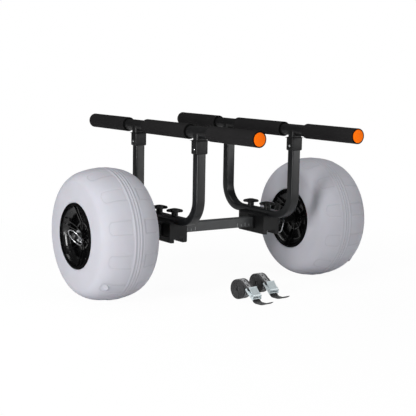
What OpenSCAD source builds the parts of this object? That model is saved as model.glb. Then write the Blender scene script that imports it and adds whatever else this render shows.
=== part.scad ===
// Kayak cart on two balloon beach wheels. The beam and axle run along X, the padded
// bunk bars run along Y, and the origin is on the floor under the middle of the beam.
// Millimetres throughout. The caps at the -Y ends of the bars face the photographer.

/* [Wheels] */
// Outer diameter of a tyre, over its moulding lines
wheel_d = 330; // [300:1:360]
// Width of a tyre between its two side walls
tyre_w = 159; // [130:1:190]
// Distance between the mid-planes of the two wheels
track = 660; // [640:1:760]
// Outer radius of the rim flange
rim_r = 81.4; // [74:0.2:95]
// Width of the rim over both flanges
rim_w = 165; // [150:1:190]
// Depth of the dished web below the rim face
dish = 28; // [24:0.5:32]
// Number of double spokes on each face of a rim
spokes = 6; // [4:1:8]
// Height of the moulding lines on the tyre
line_h = 0.6; // [0.3:0.1:1.2]
// Thickness of the tyre's wall
tyre_wall = 3.5; // [2.5:0.1:5]
// Radius of the plug that closes the filling hole
valve_r = 9; // [6:0.5:12]

/* [Axle and beam] */
// Radius of the solid axle
axle_r = 8; // [6:0.5:10]
// Overall length of the axle
axle_l = 832; // [826:1:960]
// Outer size of the square cross beam
beam_s = 25.4; // [22:0.2:32]
// Wall of the cross beam
beam_wall = 2; // [1.5:0.1:3]
// Length of the cross beam
beam_l = 424; // [400:1:440]
// Distance from the beam's end plugs to the middle of the inner lock pins
pin_gap = 6; // [4:0.5:12]
// Radius of a lock pin's shank
pin_r = 3; // [2.5:0.25:4]
// Lean of the lock pins about the axle, from level
pin_lean = 20; // [0:1:30]
// Radius of an outer pin's ring, to the middle of its wire
ring_r = 23; // [21:0.5:24]
// Depth of an inner pin's wire bail below the axle
bail_drop = 41; // [30:1:50]

/* [Side frames] */
// Distance of each bunk bar from the middle
bar_x = 147; // [110:1:165]
// Height of the middle of the bunk bars
bar_z = 421.2; // [380:1:480]
// Width of the U tube along the axle
tube_w = 22.7; // [19:0.1:26]
// Depth of the U tube in the plane of its bend
tube_d = 17.8; // [15:0.1:20]
// Wall of the U tube
tube_wall = 2; // [1.5:0.1:3]
// Distance of the middle of each leg from the axle, along the bars
leg_y = 147.6; // [130:0.2:170]
// Outer radius of the bends
bend_r = 71; // [55:1:90]
// Height of the underside of the U tube
tube_z = 184; // [180:0.5:190]
// Length of the clamp block
block_l = 113; // [100:1:130]
// Width of the clamp block
block_w = 51.8; // [46:0.2:60]
// Height of the clamp block's feet above the floor
block_z = 135.8; // [128:0.2:142]
// Distance of the knobs from the axle, along the block
knob_y = 37; // [32:0.5:42]
// Radius of a knob over its lobes
knob_r = 21.5; // [18:0.5:26]
// Number of lobes on a knob
knob_lobes = 4; // [3:1:6]

/* [Bunk bars] */
// Outer radius of a bar's tube
bar_r = 12.7; // [11:0.1:15]
// Wall of a bar's tube
bar_wall = 2; // [1.5:0.1:3]
// Outer radius of the foam sleeves
foam_r = 19; // [17:0.2:24]
// Half length of the middle foam sleeve
foam_mid = 104.4; // [90:0.2:115]
// Distance from the middle to the inner end of an outer sleeve
foam_in = 196.7; // [188:0.1:210]
// Distance from the middle to the outer end of an outer sleeve
foam_out = 390.2; // [340:0.1:420]
// Outer radius of a tee's sleeve
tee_r = 14.6; // [13:0.1:16]
// Height of the lower mouth of a tee
tee_z = 368.4; // [350:0.2:380]
// Width of a tee's socket along the axle
socket_w = 30.6; // [28:0.1:34]
// Depth of a tee's socket along the bar
socket_d = 21.4; // [20.8:0.1:26]
// Radius of an end cap's head
cap_r = 16; // [14:0.1:17]
// Radius of a snap button
button_r = 3.75; // [3:0.05:4.5]

/* [Tie-down straps] */
// Width of the webbing
web_w = 25; // [20:1:38]
// Thickness of the webbing
web_t = 1.2; // [1:0.1:1.4]
// Step from one turn of the roll to the next
web_pitch = 1.7; // [1.65:0.05:1.9]
// Turns in a roll
web_turns = 12; // [8:1:14]
// Slope of the webbing where it leaves the roll
web_slope = 42; // [35:1:50]
// Length of the buckle frame
buckle_l = 36; // [32:0.5:42]
// Length of the cam lever from its pin to its edge
lever_l = 22; // [16:0.5:24]

/* [Hidden] */
left = -1;
right = 1;
front = -1;
back = 1;
// Pieces of one body that seat in each other are this far apart
fit = 0.05;
// Gap beside a piece that turns or slides
run = 0.3;
axle_z = wheel_d / 2;
smooth = 64;
fine = 32;

// Tyre and rim
crown_r = wheel_d / 2 - line_h;
bead_r = rim_r - 3.4;
barrel_r = bead_r - 2.5;
flange_w = 6;
side_r = (crown_r + rim_r) / 2;
side_h = crown_r - side_r;
side_n = 2.3;
side_bulge = 1.4;
lip_r = tyre_w / 2 + side_bulge - (rim_w / 2 - flange_w - fit);
bead_w = 12;
bead_h = 7;
line_x = [5, -10, -16];
line_half = 0.9;
web_x = rim_w / 2 - dish;
web_thick = 3;
hub_r = 14;
hub_end = rim_w / 2 - 16.6;
collar_r = 29.5;
collar_t = 3.5;
collar_h = 5;
rib_t = 2.2;
rib_root = 3.2;
rib_spread = 4.6;
rib_low = 6.5;
rib_high = rim_w / 2 - 4;
slot_in = collar_r + collar_t + 3;
flare_in = 17.5;
flare_down = 16.5;
flare_t = 2.4;
flare_foot = barrel_r - flare_in;
flare_lip = rim_w / 2 - 1.5;
slot_out = flare_foot - 1.5;
spoke_turn = [53, 7];
bush_r = 12;
bush_l = 20;
bush_lip = 2.5;
bush_lip_r = 14.5;
valve_x = tyre_w / 2 * 0.72;
valve_turn = -45;
valve_depth = 5.5;

// Axle line, from the middle outwards
plug_lip = 3;
plug_l = 25;
spacer_r = 11;
washer_t = 2;
washer_r = 14.5;
hub_out_x = track / 2 + hub_end + bush_lip;
hub_in_x = track / 2 - hub_end - bush_lip;
washer_x = hub_out_x + run;
outer_pin_x = washer_x + washer_t + run + pin_r;
inner_pin_x = beam_l / 2 + plug_lip + pin_gap;
head_r = 5.5;
head_flat = 2.6;
ring_reach = 15.3;
bail_reach = 5;
tip_reach = 5;
tip_taper = 1;
outer_head = axle_r + ring_reach;
inner_head = axle_r + bail_reach;
pin_tip = axle_r + tip_reach;
ring_wire = 1.4;
ring_roll = -30;
ring_swing = 15.5;
bail_wire = 1.5;
bail_x = max(head_flat, pin_r) + run + bail_wire;
bail_far = pin_tip + bail_wire + run;
bail_r = (bail_far + inner_head) / 2;

// Side frame
tube_round = 5;
leg_x = bar_x;
bend_y = leg_y + tube_d / 2 - bend_r;
bend_z = tube_z + bend_r;
tube_top = tube_z + tube_d;
block_top = tube_z + 6.7;
block_h = block_top - block_z;
channel_w = 26;
channel_h = 11;
channel_round = 1.5;
block_round = 4;
collar_out = 4;
collar_wall = 4;
pocket_in = 2.5;
stud_r = 4;
stud_hole = 4.5;
nut_t = 3;
nut_w = channel_w - 2 * channel_round - 0.6;
nut_l = 2 * knob_y + 22;
nut_top = block_z + channel_h;
knob_washer_t = 1.6;
knob_washer_r = 8.5;
knob_foot = tube_top + knob_washer_t + run;
stem_r = 8.6;
knob_h = 18.5;
knob_edge = 9.7;
lobe_r = 5.2;
stud_in = 12;
knob_turn = 55;

// Bunk bar
leg_top = bar_z - 16.2;
socket_round = 5;
socket_top = leg_top + 0.8;
mouth_bevel = 3;
sleeve_gap = 0.5;
cap_seat = foam_out - 4.1;
cap_dome = 1.8;
cap_stem = 18;
foam_round = 2;
button_z = tee_z + 12;
button_out = 2.6;
button_travel = 3;
button_base = 0.3;
leaf_t = 0.8;
leaf_w = 7;
leaf_drop = 30;

// Tie-down straps. Each is given by the middle of its roll and its turn in plan.
strap_at = [[-28, -166], [56, -130]];
strap_turn = [7, 4];
web_end_r = 25.4;
web_per_turn = 24;
pad_start = 13;
pad_bend = 14;
pad_run = 15;
pad_curl = 34;
pad_curl_turn = 40;
cheek_t = 1.3;
cheek_h = 10.5;
cheek_x = web_w / 2 + 0.6;
bar_bolt = 1.6;
strip_h = 5;
buckle_back = 2;
lap_gap = 0.45;
lap_l = 8;
lap_fall = 25;
wrap_r = bar_bolt + 0.25 + web_t / 2;
bar_at = [bar_bolt + 0.8, wrap_r + web_t / 2];
cam_at = [27, 7.8];
cam_r = 4.8;
cam_pin_r = 1.8;
lever_rise = 6;
lever_t = 1.5;

// Rectangle with round corners, built from true arcs
module round_rect(w, h, r) {
    square([w - 2 * r, h], center = true);
    square([w, h - 2 * r], center = true);
    for (x = [-1, 1], y = [-1, 1])
        translate([x * (w / 2 - r), y * (h / 2 - r)]) circle(r, $fn = fine);
}

// Solid of revolution about the X direction, from a profile of radius and distance along X
module turned(detail = smooth) {
    rotate([0, 90, 0]) rotate_extrude($fn = detail) children();
}

// Round bar between two distances along X
module bar_along_x(r, x0, x1, detail = smooth) {
    translate([x0, 0, 0]) rotate([0, 90, 0]) cylinder(r = r, h = x1 - x0, $fn = detail);
}

// Round bar between two distances along Y
module bar_along_y(r, y0, y1, detail = smooth) {
    translate([0, y0, 0]) rotate([-90, 0, 0]) cylinder(r = r, h = y1 - y0, $fn = detail);
}

// Puts a wheel's pieces on the axle with the outer face away from the beam
module on_wheel(side) {
    translate([side * track / 2, 0, axle_z]) mirror([side == right ? 1 : 0, 0, 0]) children();
}

// Radius of the tyre's outer wall at a distance from its mid-plane
function wall_radius(x) = side_r
    + side_h * pow(max(0, 1 - pow(abs(x) / (tyre_w / 2), side_n)), 1 / side_n);

// One half of the tyre's section, from the crown round the side wall to the bead
function half_section() = concat(
    [for (i = [0:13]) let (a = 90 - i * 90 / 14)
        [side_r + side_h * pow(sin(a), 2 / side_n), tyre_w / 2 * pow(cos(a), 2 / side_n)]],
    [for (i = [0:4]) let (s = i / 4)
        [side_r + s * (rim_r + fit + lip_r - side_r),
         tyre_w / 2 + side_bulge * sin(90 * s)]],
    [for (i = [1:4]) let (a = i * 90 / 4)
        [rim_r + fit + lip_r - lip_r * sin(a),
         tyre_w / 2 + side_bulge - lip_r + lip_r * cos(a)]],
    [[bead_r + fit, rim_w / 2 - flange_w - fit]]);

// One half of the hollow inside, from the bead's foot back to the crown
function half_hollow() = let (foot = rim_w / 2 - flange_w - fit - bead_w) concat(
    [[bead_r + fit, foot], [bead_r + fit + bead_h - 2, foot], [bead_r + fit + bead_h, foot + 2]],
    [for (i = [14:-1:0]) let (a = 90 - i * 90 / 14)
        [side_r + (side_h - tyre_wall) * pow(sin(a), 2 / side_n),
         (tyre_w / 2 - tyre_wall) * pow(cos(a), 2 / side_n)]]);

// Hollow balloon tyre with three moulding lines round its crown
module tyre(side) {
    half = concat(half_section(), half_hollow());
    wall = len(half_section());
    color("lightsteelblue") difference() {
        on_wheel(side) turned(96) {
            polygon(concat(half, [for (i = [len(half) - 2:-1:wall]) [half[i][0], -half[i][1]]],
                [for (i = [wall - 1:-1:1]) [half[i][0], -half[i][1]]]));
            for (x = line_x)
                translate([wall_radius(x) + line_h - line_half, x])
                    circle(line_half, $fn = 16);
        }
        on_wheel(side) valve_place() cylinder(r = valve_r + fit, h = 20, $fn = fine);
    }
}

// Frame of the filling hole on the outer shoulder, with Z out of the rubber
module valve_place() {
    lean = 40;
    rotate([180 + valve_turn, 0, 0])
        translate([-valve_x, 0, wall_radius(valve_x)])
            rotate([0, -lean, 0]) translate([0, 0, -valve_depth]) children();
}

// Rubber plug in the filling hole, with a raised rim
module valve_plug(side) {
    color("gainsboro") on_wheel(side) valve_place() {
        cylinder(r = valve_r, h = valve_depth - 0.4, $fn = fine);
        difference() {
            cylinder(r = valve_r, h = valve_depth + 0.3, $fn = fine);
            translate([0, 0, -1]) cylinder(r = valve_r - 1.6, h = valve_depth + 3, $fn = fine);
        }
    }
}

// Point of the flare that falls in from the rim's lip, a distance behind its face
function flare_at(a, behind) = [flare_foot + (flare_in + behind) * cos(a),
    flare_lip - (flare_down + behind) * sin(a)];

// Section of a face's flare: a hollow curve from the lip to its foot, then a step down to the web
module flare_section() {
    behind_foot = acos(flare_t / (flare_in + flare_t));
    polygon(concat(
        [for (a = [0:7.5:90]) flare_at(a, 0)],
        [[flare_foot, web_x - 1], [flare_foot + flare_t, web_x - 1]],
        [for (i = [8:-1:0]) flare_at(behind_foot * i / 8, flare_t)]));
}

// One thin rib of a double spoke on the outer face, in the frame of the turned rim
module rib(hand) {
    inward = hub_r - 1;
    translate([inward, hand * rib_root, 0]) rotate([0, 0, hand * rib_spread])
        rotate([90, 0, 0]) linear_extrude(rib_t, center = true)
            polygon(concat(
                [[0, web_x - 1], [flare_foot - inward + 1, web_x - 1]],
                [for (a = [84:-14:14]) flare_at(a, flare_t / 2) - [inward, 0]],
                [[barrel_r - inward + 1, rib_high], [barrel_r - inward - 7, rib_high - 5],
                [collar_r - inward + 5, web_x + rib_low], [0, web_x + rib_low]]));
}

// Wedge-shaped window between the two ribs of a double spoke
module spoke_slot() {
    grow = tan(rib_spread);
    inner = rib_root + (slot_in - hub_r) * grow - rib_t / 2 - 0.4;
    outer = rib_root + (slot_out - hub_r) * grow - rib_t / 2 - 0.4;
    linear_extrude(rim_w, center = true)
        polygon([[slot_in, -inner], [slot_in, inner], [slot_out, outer], [slot_out, -outer]]);
}

// Moulded rim: barrel with rolled flanges, a flared dish and web on each face, double spokes
module rim(side) {
    color([0.06, 0.06, 0.065]) on_wheel(side) rotate([0, 90, 0]) {
        difference() {
            rotate_extrude($fn = 96) for (s = [-1, 1]) {
                translate([barrel_r, s > 0 ? 0 : -rim_w / 2])
                    square([bead_r - barrel_r, rim_w / 2]);
                translate([barrel_r, s > 0 ? rim_w / 2 - flange_w : -rim_w / 2])
                    square([rim_r - barrel_r - 1.5, flange_w]);
                translate([barrel_r, s > 0 ? rim_w / 2 - flange_w : -rim_w / 2 + 1.5])
                    square([rim_r - barrel_r, flange_w - 1.5]);
                translate([rim_r - 1.5, s * (rim_w / 2 - 1.5)]) circle(1.5, $fn = 16);
                translate([hub_r - 1, s > 0 ? web_x - web_thick : -web_x])
                    square([flare_foot + flare_t - hub_r + 1, web_thick]);
                mirror([0, s > 0 ? 0 : 1]) flare_section();
                translate([collar_r, s > 0 ? web_x - 1 : -web_x - collar_h])
                    square([collar_t, collar_h + 1]);
            }
            for (k = [0:spokes - 1])
                rotate([0, 0, spoke_turn[side == left ? 0 : 1] + k * 360 / spokes]) spoke_slot();
        }
        difference() {
            cylinder(r = hub_r, h = 2 * hub_end, center = true, $fn = smooth);
            cylinder(r = axle_r + 1.5, h = rim_w, center = true, $fn = smooth);
            for (s = [-1, 1]) translate([0, 0, s * hub_end])
                cylinder(r = bush_r + fit, h = 2 * (bush_l + fit), center = true, $fn = smooth);
        }
        for (k = [0:spokes - 1], hand = [-1, 1], face = [0, 1])
            rotate([0, 0, spoke_turn[side == left ? 0 : 1] + k * 360 / spokes])
                mirror([0, 0, face]) rib(hand);
    }
}

// Two flanged bushes, one pressed into each end of the hub
module hub_bushes(side) {
    color("dimgray") on_wheel(side) for (s = [-1, 1]) difference() {
        union() {
            bar_along_x(bush_r, s > 0 ? hub_end - bush_l : -hub_end,
                s > 0 ? hub_end : bush_l - hub_end);
            bar_along_x(bush_lip_r, s > 0 ? hub_end : -hub_end - bush_lip,
                s > 0 ? hub_end + bush_lip : -hub_end);
        }
        bar_along_x(axle_r + 0.08, -rim_w, rim_w);
    }
}

// Square tube that joins the two sides
module cross_beam() {
    color("#3c4042") translate([0, 0, axle_z]) rotate([90, 0, 90])
        linear_extrude(beam_l, center = true) difference() {
            round_rect(beam_s, beam_s, 2);
            square(beam_s - 2 * beam_wall, center = true);
        }
}

// Plastic plugs that centre the axle in the ends of the beam
module beam_end_plugs() {
    inside = beam_s - 2 * beam_wall - 2 * fit;
    color([0.1, 0.1, 0.1]) translate([0, 0, axle_z]) for (s = [-1, 1]) difference() {
        rotate([90, 0, 90]) {
            translate([0, 0, s > 0 ? beam_l / 2 - plug_l : -beam_l / 2])
                linear_extrude(plug_l) square(inside, center = true);
            translate([0, 0, s > 0 ? beam_l / 2 : -beam_l / 2 - plug_lip])
                linear_extrude(plug_lip) round_rect(beam_s, beam_s, 2);
        }
        bar_along_x(axle_r + fit, -beam_l, beam_l);
    }
}

// Cross hole through the axle for a lock pin
module pin_hole(x) {
    translate([x, 0, 0]) rotate([pin_lean, 0, 0])
        bar_along_y(pin_r + fit, -2 * axle_r, 2 * axle_r, fine);
}

// Solid axle with bevelled ends and four cross holes
module axle_rod() {
    bevel = 1.5;
    color([0.22, 0.22, 0.23]) translate([0, 0, axle_z]) difference() {
        turned() polygon([[0, -axle_l / 2], [axle_r - bevel, -axle_l / 2],
            [axle_r, bevel - axle_l / 2], [axle_r, axle_l / 2 - bevel],
            [axle_r - bevel, axle_l / 2], [0, axle_l / 2]]);
        for (x = [inner_pin_x, outer_pin_x], s = [-1, 1]) pin_hole(s * x);
    }
}

// Sleeves that keep the hubs away from the inner lock pins
module axle_spacers() {
    x0 = inner_pin_x + bail_x + bail_wire + run;
    color([0.1, 0.1, 0.1]) translate([0, 0, axle_z])
        for (s = [0, 1]) mirror([s, 0, 0]) difference() {
            bar_along_x(spacer_r, x0, hub_in_x - run);
            bar_along_x(axle_r + fit, x0 - 1, hub_in_x);
        }
}

// Washers between the hubs and the outer lock pins
module axle_washers() {
    color("silver") translate([0, 0, axle_z])
        for (s = [0, 1]) mirror([s, 0, 0]) difference() {
            bar_along_x(washer_r, washer_x, washer_x + washer_t);
            bar_along_x(axle_r + fit, washer_x - 1, washer_x + washer_t + 1);
        }
}

// Puts a lock pin's pieces at its cross hole, with the head towards -Y
module at_pin(side, x, roll) {
    translate([0, 0, axle_z]) mirror([side == right ? 1 : 0, 0, 0])
        translate([-x, 0, 0]) rotate([pin_lean, 0, 0]) rotate([0, roll, 0]) children();
}

// One lock pin. Its head has two flats and an eye for a ring or a bail.
module lock_pin(reach, eye_r, eye_along_z) {
    turn = eye_along_z ? [0, 0, 0] : [0, 90, 0];
    difference() {
        union() {
            bar_along_y(pin_r, -reach, pin_tip - tip_taper, fine);
            translate([0, pin_tip - tip_taper, 0]) rotate([-90, 0, 0])
                cylinder(r1 = pin_r, r2 = pin_r - tip_taper, h = tip_taper, $fn = fine);
            translate([0, -reach, 0]) rotate(turn)
                cylinder(r = head_r, h = 2 * head_flat, center = true, $fn = fine);
        }
        translate([0, -reach, 0]) rotate(turn)
            cylinder(r = eye_r, h = 4 * head_r, center = true, $fn = fine);
        for (s = [-1, 1]) translate([0, -reach - head_r, 0]) rotate(turn)
            translate([0, 0, s * (head_flat + head_r)]) cube(2 * head_r, center = true);
    }
}

// Four lock pins: ring pins at the axle ends and bail pins beside the beam
module lock_pins() {
    color("silver") for (s = [left, right]) {
        at_pin(s, outer_pin_x, ring_roll) lock_pin(outer_head, ring_wire + 0.5, true);
        at_pin(s, inner_pin_x, 0) lock_pin(inner_head, bail_wire - 0.2, false);
    }
}

// Spring ring through the head of an outer pin
module pin_ring(side) {
    color("gainsboro") at_pin(side, outer_pin_x, ring_roll)
        translate([0, -outer_head, 0]) rotate([0, 0, ring_swing])
            translate([0, ring_r, 0]) rotate([0, 90, 0])
                rotate_extrude($fn = smooth) translate([ring_r, 0]) circle(ring_wire, $fn = 16);
}

// Wire bail of an inner pin: round under the axle and up to the pin's tip
module pin_bail(side) {
    low = bail_r - bail_drop;
    color("gainsboro") at_pin(side, inner_pin_x, 0) {
        translate([0, -inner_head, 0]) bar_along_x(bail_wire - 0.3, -bail_x, head_flat, fine);
        for (y = [-inner_head, bail_far]) {
            translate([-bail_x, y, low]) cylinder(r = bail_wire, h = -low, $fn = fine);
            translate([-bail_x, y, 0]) sphere(bail_wire, $fn = fine);
        }
        translate([-bail_x, bail_far - bail_r, low]) rotate([0, 90, 0])
            rotate([0, 0, -90]) rotate_extrude(angle = 180, $fn = fine)
                translate([bail_r, 0]) circle(bail_wire, $fn = fine);
        translate([0, bail_far, 0]) bar_along_x(bail_wire, -bail_x, head_flat, fine);
    }
}

// Puts the pieces of one side frame at its bar
module at_side(side) {
    translate([side * bar_x, 0, 0]) children();
}

// Moulded block that carries the U tube and slides on the beam
module clamp_block(side) {
    hole = beam_s + 2 * run;
    low = axle_z - block_z;
    color([0.09, 0.09, 0.095]) at_side(side) difference() {
        union() {
            rotate([90, 0, 0]) linear_extrude(block_l, center = true) difference() {
                translate([0, block_z + block_h / 2]) round_rect(block_w, block_h, block_round);
                translate([0, block_z]) round_rect(channel_w, 2 * channel_h, channel_round);
                translate([0, block_top]) square([tube_w + 2 * fit, 2 * (block_top - tube_z)],
                    center = true);
            }
            translate([-side * (block_w / 2 + collar_out / 2 - 0.5), 0, axle_z])
                cube([collar_out + 1, hole + 2 * collar_wall, hole + 2 * collar_wall],
                    center = true);
        }
        translate([0, 0, axle_z]) cube([2 * block_w, hole, hole], center = true);
        for (y = [-1, 1]) translate([0, y * knob_y, 0])
            cylinder(r = stud_hole, h = block_top + 1, $fn = fine);
        for (y = [-1, 1]) translate([side * block_w / 2, y * (block_l + hole) / 4, axle_z + 2])
            cube([2 * pocket_in, (block_l - hole) / 2 - 9, block_h - 22], center = true);
    }
}

// Section of the U tube, solid or the hollow inside
module tube_section(inset) {
    round_rect(tube_w - 2 * inset, tube_d - 2 * inset, tube_round - inset);
}

// Run, bends and legs of the U, with the given inset all round
module u_path(inset, extra) {
    for (s = [0, 1]) mirror([0, s, 0]) {
        translate([0, leg_y, bend_z]) linear_extrude(leg_top - bend_z + extra) tube_section(inset);
        translate([0, bend_y, bend_z]) rotate([0, 90, 0]) rotate_extrude(angle = 90, $fn = smooth)
            translate([bend_r - tube_d / 2, 0]) rotate([0, 0, 90]) tube_section(inset);
    }
    translate([0, 0, tube_z + tube_d / 2]) rotate([90, 0, 0])
        linear_extrude(2 * bend_y, center = true) tube_section(inset);
}

// Bent tube that stands on the block, with holes for the studs and the snap buttons
module u_frame(side) {
    color("#34373a") at_side(side) difference() {
        u_path(0, 0);
        u_path(tube_wall, 1);
        for (y = [-1, 1]) {
            translate([0, y * knob_y, tube_z - 5])
                cylinder(r = stud_hole, h = tube_d + 10, $fn = fine);
            translate([0, y * leg_y, button_z])
                bar_along_x(button_r + 0.1, -tube_w, -2, fine);
        }
    }
}

// Outer form of a tee below the bar, with a bevelled mouth
module tee_socket_form() {
    top = bar_z;
    intersection() {
        translate([0, 0, tee_z]) linear_extrude(top - tee_z)
            round_rect(socket_w, socket_d, socket_round);
        rotate([90, 0, 0]) linear_extrude(2 * socket_d, center = true)
            polygon([[-socket_w / 2 + mouth_bevel, tee_z], [socket_w / 2 - mouth_bevel, tee_z],
                [socket_w, tee_z + mouth_bevel + socket_w / 2], [socket_w, top],
                [-socket_w, top], [-socket_w, tee_z + mouth_bevel + socket_w / 2]]);
    }
}

// Two tees of a side: a sleeve on the bar and a socket over the leg
module tee_sockets(side) {
    color([0.11, 0.11, 0.115]) at_side(side) for (s = [0, 1])
        mirror([0, s, 0]) translate([0, leg_y, 0]) difference() {
            union() {
                tee_socket_form();
                translate([0, 0, bar_z]) bar_along_y(tee_r, foam_mid + sleeve_gap - leg_y,
                    foam_in - sleeve_gap - leg_y);
            }
            translate([0, 0, bar_z]) bar_along_y(bar_r + fit, -leg_y, leg_y);
            translate([0, 0, tee_z - 1]) linear_extrude(socket_top - tee_z + 1)
                round_rect(tube_w + 2 * fit, tube_d + 2 * fit, tube_round);
            translate([0, 0, button_z]) bar_along_x(button_r + 0.1, -socket_w, -2, fine);
        }
}

// Straight tube under the foam
module bunk_tube(side) {
    color([0.25, 0.26, 0.27]) at_side(side) translate([0, 0, bar_z]) difference() {
        bar_along_y(bar_r, -cap_seat, cap_seat);
        bar_along_y(bar_r - bar_wall, -foam_out, foam_out);
    }
}

// Foam sleeve between two distances along the bar, with eased ends
module foam_sleeve(side, y0, y1) {
    color([0.13, 0.13, 0.14]) at_side(side) translate([0, 0, bar_z]) rotate([-90, 0, 0])
        rotate_extrude($fn = smooth) {
            translate([bar_r + fit, y0]) square([foam_r - foam_round - bar_r - fit, y1 - y0]);
            translate([bar_r + fit, y0 + foam_round])
                square([foam_r - bar_r - fit, y1 - y0 - 2 * foam_round]);
            for (y = [y0 + foam_round, y1 - foam_round])
                translate([foam_r - foam_round, y]) circle(foam_round, $fn = fine);
        }
}

// Outer sleeve, with the recess that holds the head of the end cap
module outer_foam(side, end) {
    difference() {
        foam_sleeve(side, end == back ? foam_in : -foam_out, end == back ? foam_out : -foam_in);
        at_side(side) translate([0, 0, bar_z])
            bar_along_y(cap_r + fit, end == back ? cap_seat - fit : -2 * foam_out,
                end == back ? 2 * foam_out : -cap_seat + fit);
    }
}

// Domed plugs in the two ends of a bar
module end_caps(side) {
    lip = foam_out - cap_seat;
    color("#ff6a14") at_side(side) translate([0, 0, bar_z])
        for (s = [0, 1]) mirror([0, s, 0]) translate([0, cap_seat, 0]) rotate([-90, 0, 0])
            rotate_extrude($fn = smooth)
                polygon(concat([[0, -cap_stem], [bar_r - bar_wall - fit, -cap_stem],
                    [bar_r - bar_wall - fit, 0], [cap_r, 0]],
                    [for (i = [0:5]) let (a = i * 15)
                        [cap_r - 1.5 + 1.5 * cos(a), lip - 0.6 + 1.2 * sin(a)]],
                    [for (i = [1:6]) let (q = 1 - i / 6)
                        [(cap_r - 1.5) * q, lip + 0.6 + (cap_dome - 0.6) * (1 - q * q)]]));
}

// Sprung button that locks a tee on its leg
module snap_button(side, end) {
    inside = -tube_w / 2 + tube_wall + button_base;
    color("silver") at_side(side) translate([0, end * leg_y, button_z]) {
        bar_along_x(button_r, -socket_w / 2 - button_out + 1, inside, fine);
        intersection() {
            translate([-socket_w / 2 + 1.2, 0, 0]) sphere(button_r + 0.05, $fn = fine);
            bar_along_x(button_r, -socket_w, -socket_w / 2, fine);
        }
        bar_along_x(button_r + 1.2, inside, inside + 1, fine);
    }
}

// Leaf springs folded in a V behind the snap buttons
module snap_springs(side) {
    x0 = -tube_w / 2 + tube_wall + button_base + 1 + fit;
    x1 = tube_w / 2 - tube_wall - fit;
    color("lightgray") at_side(side) for (s = [-1, 1])
        translate([0, s * leg_y, button_z]) rotate([90, 0, 0])
            linear_extrude(leaf_w, center = true)
                polygon([[x0, 5], [x0 + leaf_t, 5], [0.3, -leaf_drop + 4], [x1 - leaf_t, 5],
                    [x1, 5], [x1, 2], [1.6, -leaf_drop], [-1, -leaf_drop], [x0, 2]]);
}

// Plan of a knob's head, with round lobes
module knob_plan() {
    circle(stem_r + 3, $fn = fine);
    for (k = [0:knob_lobes - 1]) rotate([0, 0, k * 360 / knob_lobes]) {
        translate([0, -lobe_r]) square([knob_r - lobe_r, 2 * lobe_r]);
        translate([knob_r - lobe_r, 0]) circle(lobe_r, $fn = fine);
    }
}

// Knob with a low coned head of round lobes on a stem
module knob(side, end) {
    low = knob_h - knob_edge;
    color([0.1, 0.1, 0.1]) at_side(side) translate([0, end * knob_y, knob_foot])
        difference() {
            union() {
                cylinder(r = stem_r, h = knob_h - 6, $fn = fine);
                rotate([0, 0, knob_turn]) intersection() {
                    linear_extrude(2 * knob_h) knob_plan();
                    rotate_extrude($fn = smooth)
                        polygon([[0, low - 1], [stem_r, low - 1], [knob_r - 3.4, low],
                            [knob_r - 1, low + 0.8], [knob_r, low + 3], [knob_r - 0.9, low + 5.2],
                            [knob_r - 3, low + 6.4], [5, knob_h - 0.4], [0, knob_h]]);
                }
            }
            translate([0, 0, -1]) cylinder(r = stud_r + fit, h = stud_in + 1, $fn = fine);
        }
}

// Threaded stud moulded into a knob
module knob_stud(side, end) {
    tip = nut_top - nut_t - 3;
    color("silver") at_side(side) translate([0, end * knob_y, tip]) {
        translate([0, 0, 1]) cylinder(r = stud_r, h = knob_foot + stud_in - 0.1 - tip - 1, $fn = fine);
        cylinder(r1 = stud_r - 1, r2 = stud_r, h = 1, $fn = fine);
    }
}

// Washers under the two knobs of a side
module knob_washers(side) {
    color("silver") at_side(side) for (s = [-1, 1]) translate([0, s * knob_y, tube_top])
        difference() {
            cylinder(r = knob_washer_r, h = knob_washer_t, $fn = fine);
            translate([0, 0, -1]) cylinder(r = stud_r + 0.2, h = knob_washer_t + 2, $fn = fine);
        }
}

// Threaded plate in the block's underside that the studs screw into
module nut_plate(side) {
    color("gray") at_side(side) difference() {
        translate([-nut_w / 2, -nut_l / 2, nut_top - nut_t]) cube([nut_w, nut_l, nut_t]);
        for (y = [-1, 1]) translate([0, y * knob_y, 0])
            cylinder(r = stud_r + 0.06, h = nut_top + 1, $fn = fine);
    }
}

// Puts a strap's pieces on the floor. Local X runs across the webbing.
module at_strap(side) {
    i = side == left ? 0 : 1;
    translate([strap_at[i][0], strap_at[i][1], 0]) rotate([0, 0, strap_turn[i]]) children();
}

// Extrudes an outline of (distance towards the camera, height) across the webbing
module across(w) {
    rotate([0, 0, -90]) rotate([90, 0, 0]) linear_extrude(w, center = true) children();
}

web_last = web_slope + 360 * web_turns;
function web_radius(a) = web_end_r - web_pitch * (web_last - a) / 360;
roll_z = web_radius(web_last - web_slope - 180) + web_t / 2;
web_steps = web_per_turn * web_turns;
// Middle line of the roll, from its core outwards, as places and headings
roll_path = [for (i = [0:web_steps]) let (a = web_slope + 360 * web_turns * i / web_steps,
    r = web_radius(a)) [r * sin(a), roll_z + r * cos(a), -a]];
slope_dir = [cos(web_slope), -sin(web_slope)];
slope_up = [sin(web_slope), cos(web_slope)];
slope_start = [web_end_r * sin(web_slope), roll_z + web_end_r * cos(web_slope)];
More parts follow.
